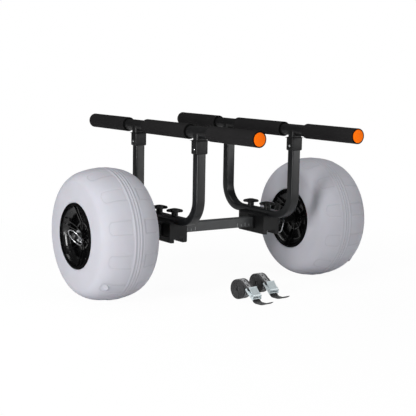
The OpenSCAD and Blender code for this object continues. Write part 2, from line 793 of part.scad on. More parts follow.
// The pad lies under the webbing on the slope, then along the floor
pad_top = slope_start - slope_up * web_t;
pad_line = (pad_top[1] - web_t / 2) / sin(web_slope);
bend_back = pad_bend * tan(web_slope / 2);
buckle_at = pad_line - bend_back - buckle_l - buckle_back;
bend_from = pad_top + slope_dir * (pad_line - bend_back);
floor_from = [bend_from[0] + pad_bend * sin(web_slope), web_t / 2];
pad_path = concat(
    [for (d = [pad_start, pad_line - bend_back]) concat(pad_top + slope_dir * d, -web_slope)],
    [for (i = [1:5]) let (a = web_slope * (1 - i / 5))
        [floor_from[0] - pad_bend * sin(a), web_t / 2 + pad_bend * (1 - cos(a)), -a]],
    [[floor_from[0] + pad_run, web_t / 2, 0]],
    [for (i = [1:5]) let (a = pad_curl_turn * i / 5)
        [floor_from[0] + pad_run + pad_curl * sin(a), web_t / 2 + pad_curl * (1 - cos(a)), a]]);

// Outline of a band of webbing that follows a path
function band(path, t) = concat(
    [for (p = path) [p[0] - t / 2 * sin(p[2]), p[1] + t / 2 * cos(p[2])]],
    [for (i = [len(path) - 1:-1:0]) let (p = path[i])
        [p[0] + t / 2 * sin(p[2]), p[1] - t / 2 * cos(p[2])]]);
// Webbing at the buckle: under the bar, round it and back onto itself, where it is sewn
lap_drop = bar_at[1] + wrap_r * cos(lap_fall) - 1.5 * web_t - lap_gap;
lap_back = [bar_at[0] - wrap_r * sin(lap_fall) - lap_drop / tan(lap_fall), 1.5 * web_t + lap_gap];
loop_path = concat(
    [for (a = [-90:22.5:90 + lap_fall]) [bar_at[0] + wrap_r * cos(a), bar_at[1] + wrap_r * sin(a), a + 90]],
    [[bar_at[0] - wrap_r * sin(lap_fall), bar_at[1] + wrap_r * cos(lap_fall), 180 + lap_fall]],
    [[lap_back[0] + 0.8, lap_back[1] + 0.8 * tan(lap_fall), 180 + lap_fall]],
    [[lap_back[0] - 0.8, lap_back[1], 180], [lap_back[0] - lap_l, lap_back[1], 180]]);
// Puts a point given down the slope and off the webbing's underside on the strap's path
function on_path(p) = concat(slope_start + slope_dir * (buckle_at + p[0]) + slope_up * (p[1] - web_t / 2),
    p[2] - web_slope);
web_line = concat(roll_path, [for (p = loop_path) on_path(p)]);
roll_gap = min([for (i = [0:web_steps - web_per_turn])
    let (a = roll_path[i], b = roll_path[i + web_per_turn])
        norm([b[0] - a[0], b[1] - a[1]]) - web_t]);
echo("Least gap of the webbing to itself in mm", min(roll_gap, lap_gap));

// Rolled webbing with the pad sewn under its buckle
module strap_webbing(side) {
    color([0.12, 0.12, 0.12]) at_strap(side) {
        across(web_w) polygon(band(web_line, web_t));
        across(web_w) polygon(band(pad_path, web_t));
    }
}

// Puts a buckle's pieces on the slope, with X down the slope, Y across and Z off the webbing
module on_slope() {
    base = slope_start + slope_dir * buckle_at - slope_up * (web_t / 2);
    translate([0, -base[0], base[1]]) rotate([0, 0, -90]) rotate([0, web_slope, 0]) children();
}

// Steel buckle frame: two cheeks, a floor plate and a bar at each end
module buckle_frame(side) {
    color("silver") at_strap(side) on_slope() {
        for (s = [-1, 1]) translate([0, s * (cheek_x + cheek_t / 2), 0])
            rotate([90, 0, 0]) linear_extrude(cheek_t, center = true) difference() {
                union() {
                    square([buckle_l, strip_h]);
                    polygon([[6, 0], [buckle_l - 2, 0], [buckle_l - 2, strip_h],
                        [cam_at[0] + 4, cheek_h], [cam_at[0] - 4, cheek_h], [8, strip_h]]);
                }
                translate(cam_at) circle(cam_pin_r + fit, $fn = fine);
            }
        translate([7, -cheek_x, 0]) cube([buckle_l - 14, 2 * cheek_x, 1.2]);
        for (x = [bar_at[0], buckle_l - bar_at[0]])
            translate([x, 0, bar_at[1]]) rotate([90, 0, 0])
                cylinder(r = bar_bolt, h = 2 * cheek_x + 0.2, center = true, $fn = fine);
    }
}

// Cam lever: a toothed cam round the pin and a thumb plate
module cam_lever(side) {
    half = cheek_x - 0.5;
    color("gainsboro") at_strap(side) on_slope() translate([cam_at[0], 0, cam_at[1]])
        rotate([90, 0, 0]) linear_extrude(2 * half, center = true) difference() {
            union() {
                circle(cam_r, $fn = fine);
                for (k = [0:3]) rotate(-120 + 16 * k)
                    polygon([[cam_r - 0.6, -0.6], [cam_r + 0.8, 0], [cam_r - 0.6, 0.8]]);
                rotate(180 - lever_rise) translate([0, -lever_t - 1.5]) {
                    square([lever_l, lever_t]);
                    translate([lever_l, 0]) circle(lever_t, $fn = fine);
                }
            }
            circle(cam_pin_r + 0.08, $fn = fine);
        }
}

// Pin of the cam, with a round head outside each cheek
module cam_pin(side) {
    reach = cheek_x + cheek_t + fit;
    color("gray") at_strap(side) on_slope() translate([cam_at[0], 0, cam_at[1]])
        rotate([90, 0, 0]) {
            cylinder(r = cam_pin_r, h = 2 * reach + 1, center = true, $fn = fine);
            for (s = [0, 1]) mirror([0, 0, s]) translate([0, 0, reach])
                cylinder(r1 = cam_pin_r + 1, r2 = cam_pin_r, h = 1, $fn = fine);
        }
}

cross_beam();
beam_end_plugs();
axle_rod();
axle_spacers();
axle_washers();
lock_pins();
pin_ring(left);  // pin_ring_left
pin_ring(right);  // pin_ring_right
pin_bail(left);  // pin_bail_left
pin_bail(right);  // pin_bail_right
tyre(left);  // tyre_left
rim(left);  // rim_left
hub_bushes(left);  // hub_bushes_left
valve_plug(left);  // valve_plug_left
tyre(right);  // tyre_right
rim(right);  // rim_right
hub_bushes(right);  // hub_bushes_right
valve_plug(right);  // valve_plug_right
clamp_block(left);  // clamp_block_left
u_frame(left);  // u_frame_left
tee_sockets(left);  // tee_sockets_left
bunk_tube(left);  // bunk_tube_left
outer_foam(left, front);  // foam_front_left
foam_sleeve(left, -foam_mid, foam_mid);  // foam_middle_left
outer_foam(left, back);  // foam_back_left
end_caps(left);  // end_caps_left
snap_button(left, front);  // snap_button_front_left
snap_button(left, back);  // snap_button_back_left
snap_springs(left);  // snap_springs_left
knob(left, front);  // knob_front_left
knob(left, back);  // knob_back_left
knob_stud(left, front);  // knob_stud_front_left
knob_stud(left, back);  // knob_stud_back_left
knob_washers(left);  // knob_washers_left
nut_plate(left);  // nut_plate_left
clamp_block(right);  // clamp_block_right
u_frame(right);  // u_frame_right
tee_sockets(right);  // tee_sockets_right
bunk_tube(right);  // bunk_tube_right
outer_foam(right, front);  // foam_front_right
foam_sleeve(right, -foam_mid, foam_mid);  // foam_middle_right
outer_foam(right, back);  // foam_back_right
end_caps(right);  // end_caps_right
snap_button(right, front);  // snap_button_front_right
snap_button(right, back);  // snap_button_back_right
snap_springs(right);  // snap_springs_right
knob(right, front);  // knob_front_right
knob(right, back);  // knob_back_right
knob_stud(right, front);  // knob_stud_front_right
knob_stud(right, back);  // knob_stud_back_right
knob_washers(right);  // knob_washers_right
nut_plate(right);  // nut_plate_right
strap_webbing(left);  // strap_webbing_left
buckle_frame(left);  // buckle_frame_left
cam_lever(left);  // cam_lever_left
cam_pin(left);  // cam_pin_left
strap_webbing(right);  // strap_webbing_right
buckle_frame(right);  // buckle_frame_right
cam_lever(right);  // cam_lever_right
cam_pin(right);  // cam_pin_right
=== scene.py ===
"""Dresses a packed kayak cart for a studio picture.

The cart runs on two balloon beach wheels. Two U frames stand on its cross beam and carry padded
bars, and two rolled straps lie on the floor in front of it. Every size is in metres, in the frame
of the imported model: X along the axle, Y along the bars and away from the camera, Z up.
"""

import logging
import math
from dataclasses import dataclass
from enum import Enum
from itertools import accumulate
from typing import Callable, Sequence

import bpy
from mathutils import Matrix, Vector

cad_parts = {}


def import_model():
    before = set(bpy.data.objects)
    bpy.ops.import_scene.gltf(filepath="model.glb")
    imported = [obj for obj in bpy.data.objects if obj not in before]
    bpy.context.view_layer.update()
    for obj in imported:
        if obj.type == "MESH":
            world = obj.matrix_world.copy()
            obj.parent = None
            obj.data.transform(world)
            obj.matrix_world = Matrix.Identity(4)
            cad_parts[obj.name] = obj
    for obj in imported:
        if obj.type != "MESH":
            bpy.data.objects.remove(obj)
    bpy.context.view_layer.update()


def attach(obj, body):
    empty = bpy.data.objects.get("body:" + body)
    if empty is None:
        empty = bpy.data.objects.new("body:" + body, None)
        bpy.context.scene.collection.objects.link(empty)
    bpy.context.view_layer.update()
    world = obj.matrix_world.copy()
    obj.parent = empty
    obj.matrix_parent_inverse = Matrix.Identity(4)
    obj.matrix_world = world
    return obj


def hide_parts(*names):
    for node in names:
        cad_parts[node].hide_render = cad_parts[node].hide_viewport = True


LOG = logging.getLogger("kayak_cart")
Piece = bpy.types.Object
Socket = bpy.types.NodeSocket
Pair = tuple[float, float]
Point = tuple[float, float, float]
Colour = tuple[float, float, float]
# A moulding line: its distance off the mid-plane and its rise in millimetres, and its share of painted
# crease shade
Mark = tuple[float, float, float]

WHITE: Colour = (1.0, 1.0, 1.0)
QUARTER = math.pi / 2
WELD = 2e-6
FIT = 0.00005


class Side(Enum):
    """Which half of the cart a sub-assembly belongs to."""

    LEFT = -1
    RIGHT = 1

    @property
    def word(self) -> str:
        """The word that ends the names of this half's nodes."""
        return self.name.lower()


# Working in Blender by hand


def deselect_all() -> None:
    """Leaves object mode and selects nothing."""
    if bpy.context.object and bpy.context.object.mode != "OBJECT":
        bpy.ops.object.mode_set(mode="OBJECT")
    bpy.ops.object.select_all(action="DESELECT")


def take_up(piece: Piece) -> None:
    """Makes one piece the only selected and active one.

    Args:
        piece: The object to work on.
    """
    deselect_all()
    piece.select_set(True)
    bpy.context.view_layer.objects.active = piece


def apply_modifiers(piece: Piece) -> None:
    """Applies every modifier of a piece, in their order.

    Args:
        piece: The object whose modifiers are made part of its mesh.
    """
    take_up(piece)
    for name in [modifier.name for modifier in piece.modifiers]:
        bpy.ops.object.modifier_apply(modifier=name)


def settle(piece: Piece) -> None:
    """Puts a piece's place into its mesh, so that its object sits unturned at the origin.

    Args:
        piece: The object to settle.
    """
    take_up(piece)
    bpy.ops.object.transform_apply(location=True, rotation=True, scale=True)


def smooth(piece: Piece, degrees: float) -> None:
    """Shades a piece smooth, except across edges sharper than an angle.

    Args:
        piece: The object to shade.
        degrees: Edges that bend by more than this stay sharp.
    """
    take_up(piece)
    bpy.ops.object.shade_smooth_by_angle(angle=math.radians(degrees))


def join(name: str, parts: Sequence[Piece]) -> Piece:
    """Joins copies into one piece.

    Args:
        name: The name of the joined piece.
        parts: The objects to join, at least two.

    Returns:
        The joined object.
    """
    take_up(parts[0])
    for part in parts[1:]:
        part.select_set(True)
    bpy.ops.object.join()
    parts[0].name = name
    return parts[0]


def edit_all() -> None:
    """Enters edit mode with everything selected."""
    bpy.ops.object.mode_set(mode="EDIT")
    bpy.ops.mesh.select_all(action="SELECT")


def close_up(fill: bool = False) -> None:
    """Welds doubled corners, turns all faces outwards and leaves edit mode.

    Args:
        fill: Whether open ends are filled first.
    """
    bpy.ops.mesh.select_all(action="SELECT")
    bpy.ops.mesh.remove_doubles(threshold=WELD)
    if fill:
        bpy.ops.mesh.fill_holes(sides=0)
        bpy.ops.mesh.select_all(action="SELECT")
    bpy.ops.mesh.normals_make_consistent(inside=False)
    bpy.ops.object.mode_set(mode="OBJECT")


def bevel_picked(offset: float, segments: int) -> None:
    """Bevels the picked edges of the active piece.

    Args:
        offset: The bevel's width.
        segments: How many faces round it.
    """
    bpy.ops.object.mode_set(mode="EDIT")
    bpy.ops.mesh.bevel(offset=offset, segments=segments)
    bpy.ops.object.mode_set(mode="OBJECT")


def boxed(at: Point, size: Point) -> Piece:
    """Adds a box.

    Args:
        at: Its middle.
        size: Its three sizes.

    Returns:
        The box, settled.
    """
    deselect_all()
    bpy.ops.mesh.primitive_cube_add(size=1.0, location=at)
    made = bpy.context.object
    made.scale = size
    settle(made)
    return made


def outline(name: str, places: Sequence[Point]) -> Piece:
    """Adds a closed line of edges.

    Args:
        name: The name of the new piece.
        places: Its corners in order.

    Returns:
        The line, in object mode.
    """
    deselect_all()
    bpy.ops.mesh.primitive_circle_add(vertices=len(places), radius=0.01, location=(0, 0, 0))
    made = bpy.context.object
    made.name = name
    for vertex, place in zip(made.data.vertices, places):
        vertex.co = place
    return made


def spun(name: str, section: Sequence[Point], centre: Point, axis: Point, steps: int) -> Piece:
    """Spins a closed section once round an axis.

    Args:
        name: The name of the new piece.
        section: The corners of the section in order.
        centre: A point on the axis.
        axis: The direction of the axis.
        steps: How many steps make the full turn.

    Returns:
        The spun object, closed and with its faces outwards.
    """
    piece = outline(name, section)
    edit_all()
    bpy.ops.mesh.spin(steps=steps, angle=2 * math.pi, center=centre, axis=axis)
    close_up()
    return piece


def clear_picks(mesh: bpy.types.Mesh) -> None:
    """Unselects every corner, edge and face.

    Args:
        mesh: The mesh, in object mode.
    """
    for group in (mesh.vertices, mesh.edges, mesh.polygons):
        group.foreach_set("select", [False] * len(group))


def pick_faces(piece: Piece, wanted: Callable[[Vector], bool]) -> None:
    """Selects the faces of a piece by their place.

    Args:
        piece: The object, in object mode.
        wanted: Says of a face's centre whether it is wanted.
    """
    clear_picks(piece.data)
    for face in piece.data.polygons:
        face.select = wanted(face.center)


def pick_edges(piece: Piece, wanted: Callable[[Vector, Vector], bool]) -> None:
    """Selects the edges of a piece by their two ends.

    Args:
        piece: The object, in object mode.
        wanted: Says of an edge's ends whether it is wanted.
    """
    clear_picks(piece.data)
    for edge in piece.data.edges:
        edge.select = wanted(*(piece.data.vertices[number].co for number in edge.vertices))


def arc(middle: Pair, radius: float, start: float, stop: float, steps: int, first: int = 0) -> list[Pair]:
    """Cuts an arc into points.

    Args:
        middle: The arc's middle.
        radius: Its radius.
        start: The angle where it starts, in degrees.
        stop: The angle where it stops.
        steps: How many steps lead from one to the other.
        first: The first step that is wanted.

    Returns:
        The points, up to the one at the stop.
    """
    turns = [math.radians(start + (stop - start) * step / steps) for step in range(first, steps + 1)]
    return [(middle[0] + radius * math.cos(turn), middle[1] + radius * math.sin(turn)) for turn in turns]


# Finishes


@dataclass
class Graph:
    """A node tree, with short calls that add and link nodes."""

    tree: bpy.types.NodeTree

    def node(self, kind: str, settings: dict[str, object] | None = None, **inputs: object) -> bpy.types.Node:
        """Adds one node.

        Args:
            kind: The node's type name.
            settings: Properties of the node.
            inputs: Values or output sockets for inputs, with underscores for spaces.

        Returns:
            The new node.
        """
        made = self.tree.nodes.new(kind)
        for key, value in (settings or {}).items():
            setattr(made, key, value)
        for key, value in inputs.items():
            self.feed(made.inputs[key.replace("_", " ")], value)
        return made

    def feed(self, socket: Socket, value: object) -> None:
        """Links an output to a socket, or sets the socket's own value.

        Args:
            socket: The input socket.
            value: An output socket, a number or a colour.
        """
        if isinstance(value, bpy.types.NodeSocket):
            self.tree.links.new(value, socket)
        elif isinstance(value, tuple) and len(value) == 3 and socket.type == "RGBA":
            socket.default_value = (*value, 1.0)
        else:
            socket.default_value = value

    def maths(self, operation: str, first: object, second: object = 0.0) -> Socket:
        """Adds a Math node.

        Args:
            operation: The name of the sum.
            first: The first value or socket.
            second: The second value or socket.

        Returns:
            The node's output.
        """
        made = self.node("ShaderNodeMath", {"operation": operation})
        for socket, value in zip(made.inputs, (first, second)):
            self.feed(socket, value)
        return made.outputs[0]

    def blend(self, share: object, low: object, high: object) -> Socket:
        """Mixes two colours.

        Args:
            share: How much of the second colour shows.
            low: The first colour or socket.
            high: The second colour or socket.

        Returns:
            The mixed colour.
        """
        made = self.node("ShaderNodeMix", {"data_type": "RGBA", "clamp_factor": True})
        for number, value in ((0, share), (6, low), (7, high)):
            self.feed(made.inputs[number], value)
        return made.outputs[2]

    def spread(self, value: object, low: float, high: float, to_low: float, to_high: float) -> Socket:
        """Stretches a range of values onto another one.

        Args:
            value: The value or socket.
            low: Where the old range starts.
            high: Where the old range ends.
            to_low: Where the new range starts.
            to_high: Where the new range ends.

        Returns:
            The stretched value, kept inside the new range.
        """
        made = self.node("ShaderNodeMapRange", {"clamp": True})
        for socket, number in zip(made.inputs, (value, low, high, to_low, to_high)):
            self.feed(socket, number)
        return made.outputs[0]

    def noise(self, place: Socket, scale: object, detail: float, rough: float = 0.5) -> Socket:
        """Adds a Noise Texture node.

        Args:
            place: The place that it is read at.
            scale: How fine it is.
            detail: How many finer layers it has.
            rough: How strong those layers are.

        Returns:
            The noise's strength.
        """
        settings = {"Scale": scale, "Detail": detail, "Roughness": rough}
        return self.node("ShaderNodeTexNoise", Vector=place, **settings).outputs["Fac"]

    def place(self) -> Socket:
        """The place on the piece, in metres."""
        return self.node("ShaderNodeTexCoord").outputs["Object"]

    def bump(self, height: object, strength: float, distance: float) -> Socket:
        """Adds a Bump node.

        Args:
            height: The height or its socket.
            strength: How strongly it shows.
            distance: How deep it is, in metres.

        Returns:
            The bumped normal.
        """
        return self.node("ShaderNodeBump", Height=height, Strength=strength, Distance=distance).outputs[0]

    def mixed(self, share: object, first: bpy.types.Node, second: bpy.types.Node) -> Socket:
        """Mixes two shaders.

        Args:
            share: How much of the second one shows.
            first: The first shader.
            second: The second shader.

        Returns:
            The mixed shader.
        """
        made = self.node("ShaderNodeMixShader", Fac=share)
        self.feed(made.inputs[1], first.outputs[0])
        self.feed(made.inputs[2], second.outputs[0])
        return made.outputs[0]

    def surface(self, **inputs: object) -> None:
        """Adds the shader and the output.

        Args:
            inputs: Values or sockets for the shader's inputs.
        """
        shader = self.node("ShaderNodeBsdfPrincipled", **inputs)
        self.node("ShaderNodeOutputMaterial", Surface=shader.outputs[0])


def shared_group(
    name: str, takes: Sequence[str], fill: Callable[[Graph, Sequence[Socket]], dict[str, Socket]]
) -> bpy.types.NodeTree:
    """A node group that several materials use, built the first time it is asked for.

    Args:
        name: The group's name.
        takes: The names of its number inputs, after the place; one that starts with a star is a vector.
        fill: Adds its nodes to the outputs of its input node and gives its outputs by name.

    Returns:
        The group's tree.
    """
    if name in bpy.data.node_groups:
        return bpy.data.node_groups[name]
    graph = Graph(bpy.data.node_groups.new(name, "ShaderNodeTree"))
    for label in ("*Place", *takes):
        kind = "NodeSocketVector" if label.startswith("*") else "NodeSocketFloat"
        graph.tree.interface.new_socket(name=label.lstrip("*"), in_out="INPUT", socket_type=kind)
    made = fill(graph, graph.node("NodeGroupInput").outputs)
    for label in made:
        graph.tree.interface.new_socket(name=label, in_out="OUTPUT", socket_type="NodeSocketFloat")
    graph.node("NodeGroupOutput", **made)
    return graph.tree


def fill_grain(graph: Graph, takes: Sequence[Socket]) -> dict[str, Socket]:
    """A moulded or cast skin: fine grain over slow waviness, and a mottle for colour.

    Args:
        graph: The group's empty tree.
        takes: The place, the fineness and the waviness.

    Returns:
        The skin's height and the mottle.
    """
    place, fineness, waviness = takes[:3]
    slow = graph.noise(place, 38.0, 2.0)
    height = graph.maths("ADD", graph.noise(place, fineness, 3.0), graph.maths("MULTIPLY", slow, waviness))
    return {"Height": height, "Mottle": graph.noise(place, 13.0, 4.0)}


def fill_rub(graph: Graph, takes: Sequence[Socket]) -> dict[str, Socket]:
    """Faint rub marks and a light dusting: a mask that breaks up gloss, streaked along one axis.

    Args:
        graph: The group's empty tree.
        takes: The place, how often the marks repeat along each axis, and their amount.

    Returns:
        The mask.
    """
    place, stretch, amount = takes[:3]
    mapped = graph.node("ShaderNodeVectorMath", {"operation": "MULTIPLY"})
    graph.feed(mapped.inputs[0], place)
    graph.feed(mapped.inputs[1], stretch)
    sharp = graph.spread(graph.noise(mapped.outputs[0], 1.0, 5.0, 0.65), 0.48, 0.72, 0.0, 1.0)
    return {"Mask": graph.maths("MULTIPLY", sharp, amount)}


@dataclass(frozen=True)
class Finish:
    """A finish that a maker would order by name."""

    name: str
    colour: Colour
    roughness: float = 0.5

    def material(self) -> bpy.types.Material:
        """The finish's material, built the first time it is asked for."""
        found = bpy.data.materials.get(self.name)
        if found is None:
            found = bpy.data.materials.new(self.name)
            found.diffuse_color = (*self.colour, 1.0)
            found.use_nodes = True
            found.node_tree.nodes.clear()
            self.build(Graph(found.node_tree))
        return found

    def build(self, graph: Graph) -> None:
        """Fills the material's node tree.

        Args:
            graph: The empty tree.
        """
        raise NotImplementedError

    def grain(self, graph: Graph, fineness: float, waviness: float) -> tuple[Socket, Socket]:
        """Adds the shared grain group.

        Args:
            graph: The tree to add it to.
            fineness: The scale of the fine grain.
            waviness: The share of slow waviness.

        Returns:
            The skin's height and its mottle.
        """
        group = shared_group("moulded_grain", ("Fineness", "Waviness"), fill_grain)
        inputs = {"Place": graph.place(), "Fineness": fineness, "Waviness": waviness}
        made = graph.node("ShaderNodeGroup", {"node_tree": group}, **inputs)
        return made.outputs["Height"], made.outputs["Mottle"]

    def rub(self, graph: Graph, stretch: Point, amount: float) -> Socket:
        """Adds the shared rub marks.

        Args:
            graph: The tree to add them to.
            stretch: How often the marks repeat along each axis.
            amount: How strong they are.

        Returns:
            The mask of the marks.
        """
        group = shared_group("rub_marks", ("*Stretch", "Amount"), fill_rub)
        inputs = {"Place": graph.place(), "Stretch": stretch, "Amount": amount}
        return graph.node("ShaderNodeGroup", {"node_tree": group}, **inputs).outputs["Mask"]

    def shaded(self, share: float) -> Colour:
        """The colour made lighter or darker.

        Args:
            share: What it is multiplied by.

        Returns:
            The new colour.
        """
        return tuple(min(1.0, part * share) for part in self.colour)

    def mottled(self, graph: Graph, mottle: Socket, low: float, high: float) -> Socket:
        """The colour with its slow mottle.

        Args:
            graph: The tree to add it to.
            mottle: The mottle's strength.
            low: The share of the colour at the dark places.
            high: The share at the light places.

        Returns:
            The mottled colour.
        """
        return graph.blend(graph.spread(mottle, 0.3, 0.7, 0.0, 1.0), self.shaded(low), self.shaded(high))

    def worn(self, graph: Graph, colour: object, mask: Socket, amount: float, share: float) -> Socket:
        """A colour that turns lighter or darker where a mask says so.

        Args:
            graph: The tree to add it to.
            colour: The colour to change.
            mask: Where it changes.
            amount: How much of the change shows.
            share: What the finish's own colour is multiplied by there.

        Returns:
            The changed colour.
        """
        return graph.blend(graph.maths("MULTIPLY", mask, amount), colour, self.shaded(share))


@dataclass(frozen=True)
class MouldedPlastic(Finish):
    """Injection-moulded plastic with a fine spark-eroded skin; its glow is painted light that brightens the
    colour.
    """

    fineness: float = 1400.0
    depth: float = 0.00006
    gloss: float = 0.5
    # Painted light: emission that brightens the colour, though the part is no lamp
    glow: float = 0.0

    def build(self, graph: Graph) -> None:
        """Adds the nodes, as Finish.build says."""
        height, mottle = self.grain(graph, self.fineness, 0.5)
        rub = self.rub(graph, (55.0, 55.0, 55.0), 0.5)
        graph.surface(
            Base_Color=self.worn(graph, self.mottled(graph, mottle, 0.86, 1.12), rub, 0.35, 1.9),
            Roughness=graph.spread(rub, 0.0, 0.5, self.roughness, min(1.0, self.roughness + 0.12)),
            Normal=graph.bump(height, 0.35, self.depth),
            Specular_IOR_Level=self.gloss,
            Emission_Color=self.colour,
            Emission_Strength=self.glow,
        )


@dataclass(frozen=True)
class Anodised(Finish):
    """Extruded tube with faint die lines along its length and a satin anodised skin."""

    lines: Point = (14.0, 1400.0, 1400.0)
    metal: float = 0.0
    coat: float = 0.25

    def build(self, graph: Graph) -> None:
        """Adds the nodes, as Finish.build says."""
        height, mottle = self.grain(graph, 2600.0, 0.2)
        drawn = self.rub(graph, self.lines, 1.0)
        rub = self.rub(graph, (40.0, 40.0, 40.0), 0.5)
        wear = graph.maths("ADD", rub, graph.maths("MULTIPLY", drawn, 0.3))
        relief = graph.maths("ADD", height, graph.maths("MULTIPLY", drawn, 0.8))
        graph.surface(
            Base_Color=self.worn(graph, self.mottled(graph, mottle, 0.9, 1.1), rub, 0.3, 1.8),
            Roughness=graph.spread(wear, 0.0, 0.8, self.roughness, self.roughness + 0.14),
            Metallic=self.metal,
            Normal=graph.bump(relief, 0.1, 0.00003),
            Coat_Weight=self.coat,
            Coat_Roughness=0.2,
        )


@dataclass(frozen=True)
class PlatedSteel(Finish):
    """Zinc-plated steel with fine brushing and a little tarnish."""

    brush: Point = (1800.0, 1800.0, 90.0)
    metal: float = 1.0

    def build(self, graph: Graph) -> None:
        """Adds the nodes, as Finish.build says."""
        brushed = self.rub(graph, self.brush, 1.0)
        tarnish = self.rub(graph, (90.0, 90.0, 90.0), 1.0)
        wear = graph.maths("ADD", brushed, tarnish)
        graph.surface(
            Base_Color=self.worn(graph, self.colour, tarnish, 0.3, 0.7),
            Roughness=graph.spread(wear, 0.0, 1.6, self.roughness, self.roughness + 0.2),
            Metallic=self.metal,
            Normal=graph.bump(brushed, 0.12, 0.00002),
        )


@dataclass(frozen=True)
class GlossBlack(Finish):
    """High-gloss moulded black with soft ripples, as on a rim."""

    def build(self, graph: Graph) -> None:
        """Adds the nodes, as Finish.build says."""
        height, _ = self.grain(graph, 420.0, 1.2)
        rub = self.rub(graph, (60.0, 60.0, 60.0), 0.3)
        graph.surface(
            Base_Color=graph.blend(rub, self.colour, self.shaded(1.8)),
            Roughness=graph.spread(rub, 0.0, 0.5, self.roughness, self.roughness + 0.15),
            Normal=graph.bump(height, 0.06, 0.0001),
            Specular_IOR_Level=0.5,
            Coat_Weight=0.3,
            Coat_Roughness=0.12,
        )


@dataclass(frozen=True)
class BalloonRubber(Finish):
    """Soft pale polyurethane of a balloon tyre, with a slow mottle, moulding grain and painted shade in its
    grooves.
    """

    dusty: float = 0.22

    def build(self, graph: Graph) -> None:
        """Adds the nodes, as Finish.build says."""
        height, mottle = self.grain(graph, 520.0, 1.4)
        smudge = self.rub(graph, (9.0, 9.0, 9.0), 0.6)
        # Painted shade: the colour darkens at the pads' inner edges and in the moulding lines' valleys, by
        # the crease-shade mark
        dust = graph.node("ShaderNodeAttribute", {"attribute_name": "dust"}).outputs["Fac"]
        clean = self.worn(graph, self.mottled(graph, mottle, 0.965, 1.03), smudge, 0.3, 0.9)
        graph.surface(
            Base_Color=self.worn(graph, clean, dust, self.dusty, 0.5),
            Roughness=graph.spread(smudge, 0.0, 0.6, self.roughness, self.roughness + 0.08),
            Normal=graph.bump(height, 0.25, 0.00025),
            Specular_IOR_Level=0.12,
            Subsurface_Weight=0.08,
            Subsurface_Scale=0.006,
        )


@dataclass(frozen=True)
class ClosedCellFoam(Finish):
    """Matt closed-cell foam: pores under a thin skin."""

    def build(self, graph: Graph) -> None:
        """Adds the nodes, as Finish.build says."""
        height, mottle = self.grain(graph, 700.0, 0.8)
        cells = graph.node("ShaderNodeTexVoronoi", {"feature": "F1"}, Vector=graph.place(), Scale=650.0)
        pores = graph.spread(cells.outputs["Distance"], 0.0, 0.5, 0.0, 1.0)
        relief = graph.maths("ADD", graph.maths("MULTIPLY", pores, 0.7), height)
        graph.surface(
            Base_Color=self.worn(graph, self.mottled(graph, mottle, 0.85, 1.15), pores, 0.5, 1.35),
            Roughness=self.roughness,
            Normal=graph.bump(relief, 0.5, 0.00025),
            Specular_IOR_Level=0.12,
        )


@dataclass(frozen=True)
class WovenWebbing(Finish):
    """Narrow woven webbing that follows its own UV map, in metres across and along."""

    stripe: Colour = (0.78, 0.79, 0.81)
    width: float = 0.025
    striped: bool = True
    pick_pitch: float = 0.0011
    end_pitch: float = 0.0014
    line_off: float = 0.0046
    line_half: float = 0.0011
    dash_half: float = 0.0019
    dash_pitch: float = 0.012
    dash_share: float = 0.62

    def stripes(self, graph: Graph, across: Socket, along: Socket) -> Socket:
        """Adds the woven stripes: a line on each side of a row of dashes.

        Args:
            graph: The tree to add them to.
            across: The distance across the webbing.
            along: The distance along it.

        Returns:
            Where the stripes are.
        """
        off_middle = graph.maths("ABSOLUTE", graph.maths("SUBTRACT", across, self.width / 2))
        off_line = graph.maths("ABSOLUTE", graph.maths("SUBTRACT", off_middle, self.line_off))
        repeat = graph.maths("FRACT", graph.maths("MULTIPLY", along, 1 / self.dash_pitch))
        dash = graph.maths("LESS_THAN", repeat, self.dash_share)
        middle = graph.maths("MULTIPLY", graph.maths("LESS_THAN", off_middle, self.dash_half), dash)
        return graph.maths("MAXIMUM", graph.maths("LESS_THAN", off_line, self.line_half), middle)

    def build(self, graph: Graph) -> None:
        """Adds the nodes, as Finish.build says."""
        coords = graph.node("ShaderNodeUVMap", {"uv_map": "cloth"}).outputs[0]
        across, along = graph.node("ShaderNodeSeparateXYZ", Vector=coords).outputs[:2]
        picks, ends = (
            graph.maths("ABSOLUTE", graph.maths("SINE", graph.maths("MULTIPLY", value, math.pi / pitch)))
            for value, pitch in ((along, self.pick_pitch), (across, self.end_pitch))
        )
        weave = graph.maths("MULTIPLY", picks, ends)
        height, _ = self.grain(graph, 1800.0, 0.2)
        relief = graph.maths("ADD", weave, graph.maths("MULTIPLY", height, 0.25))
        colour = graph.blend(weave, self.shaded(0.55), self.shaded(1.35))
        if self.striped:
            shown = graph.spread(weave, 0.0, 0.6, 0.35, 1.0)
            mark = graph.maths("MULTIPLY", self.stripes(graph, across, along), shown)
            colour = graph.blend(mark, colour, self.stripe)
        graph.surface(
            Base_Color=colour,
            Roughness=self.roughness,
            Normal=graph.bump(relief, 0.6, 0.0003),
            Sheen_Weight=0.2,
            Sheen_Roughness=0.5,
        )


@dataclass(frozen=True)
class ScreenInk(Finish):
    """Thin screen-printed ink, slightly uneven."""

    def build(self, graph: Graph) -> None:
        """Adds the nodes, as Finish.build says."""
        rub = self.rub(graph, (700.0, 700.0, 700.0), 0.6)
        graph.surface(
            Base_Color=graph.blend(rub, self.colour, self.shaded(0.6)),
            Roughness=graph.spread(rub, 0.0, 0.6, self.roughness, 0.8),
        )


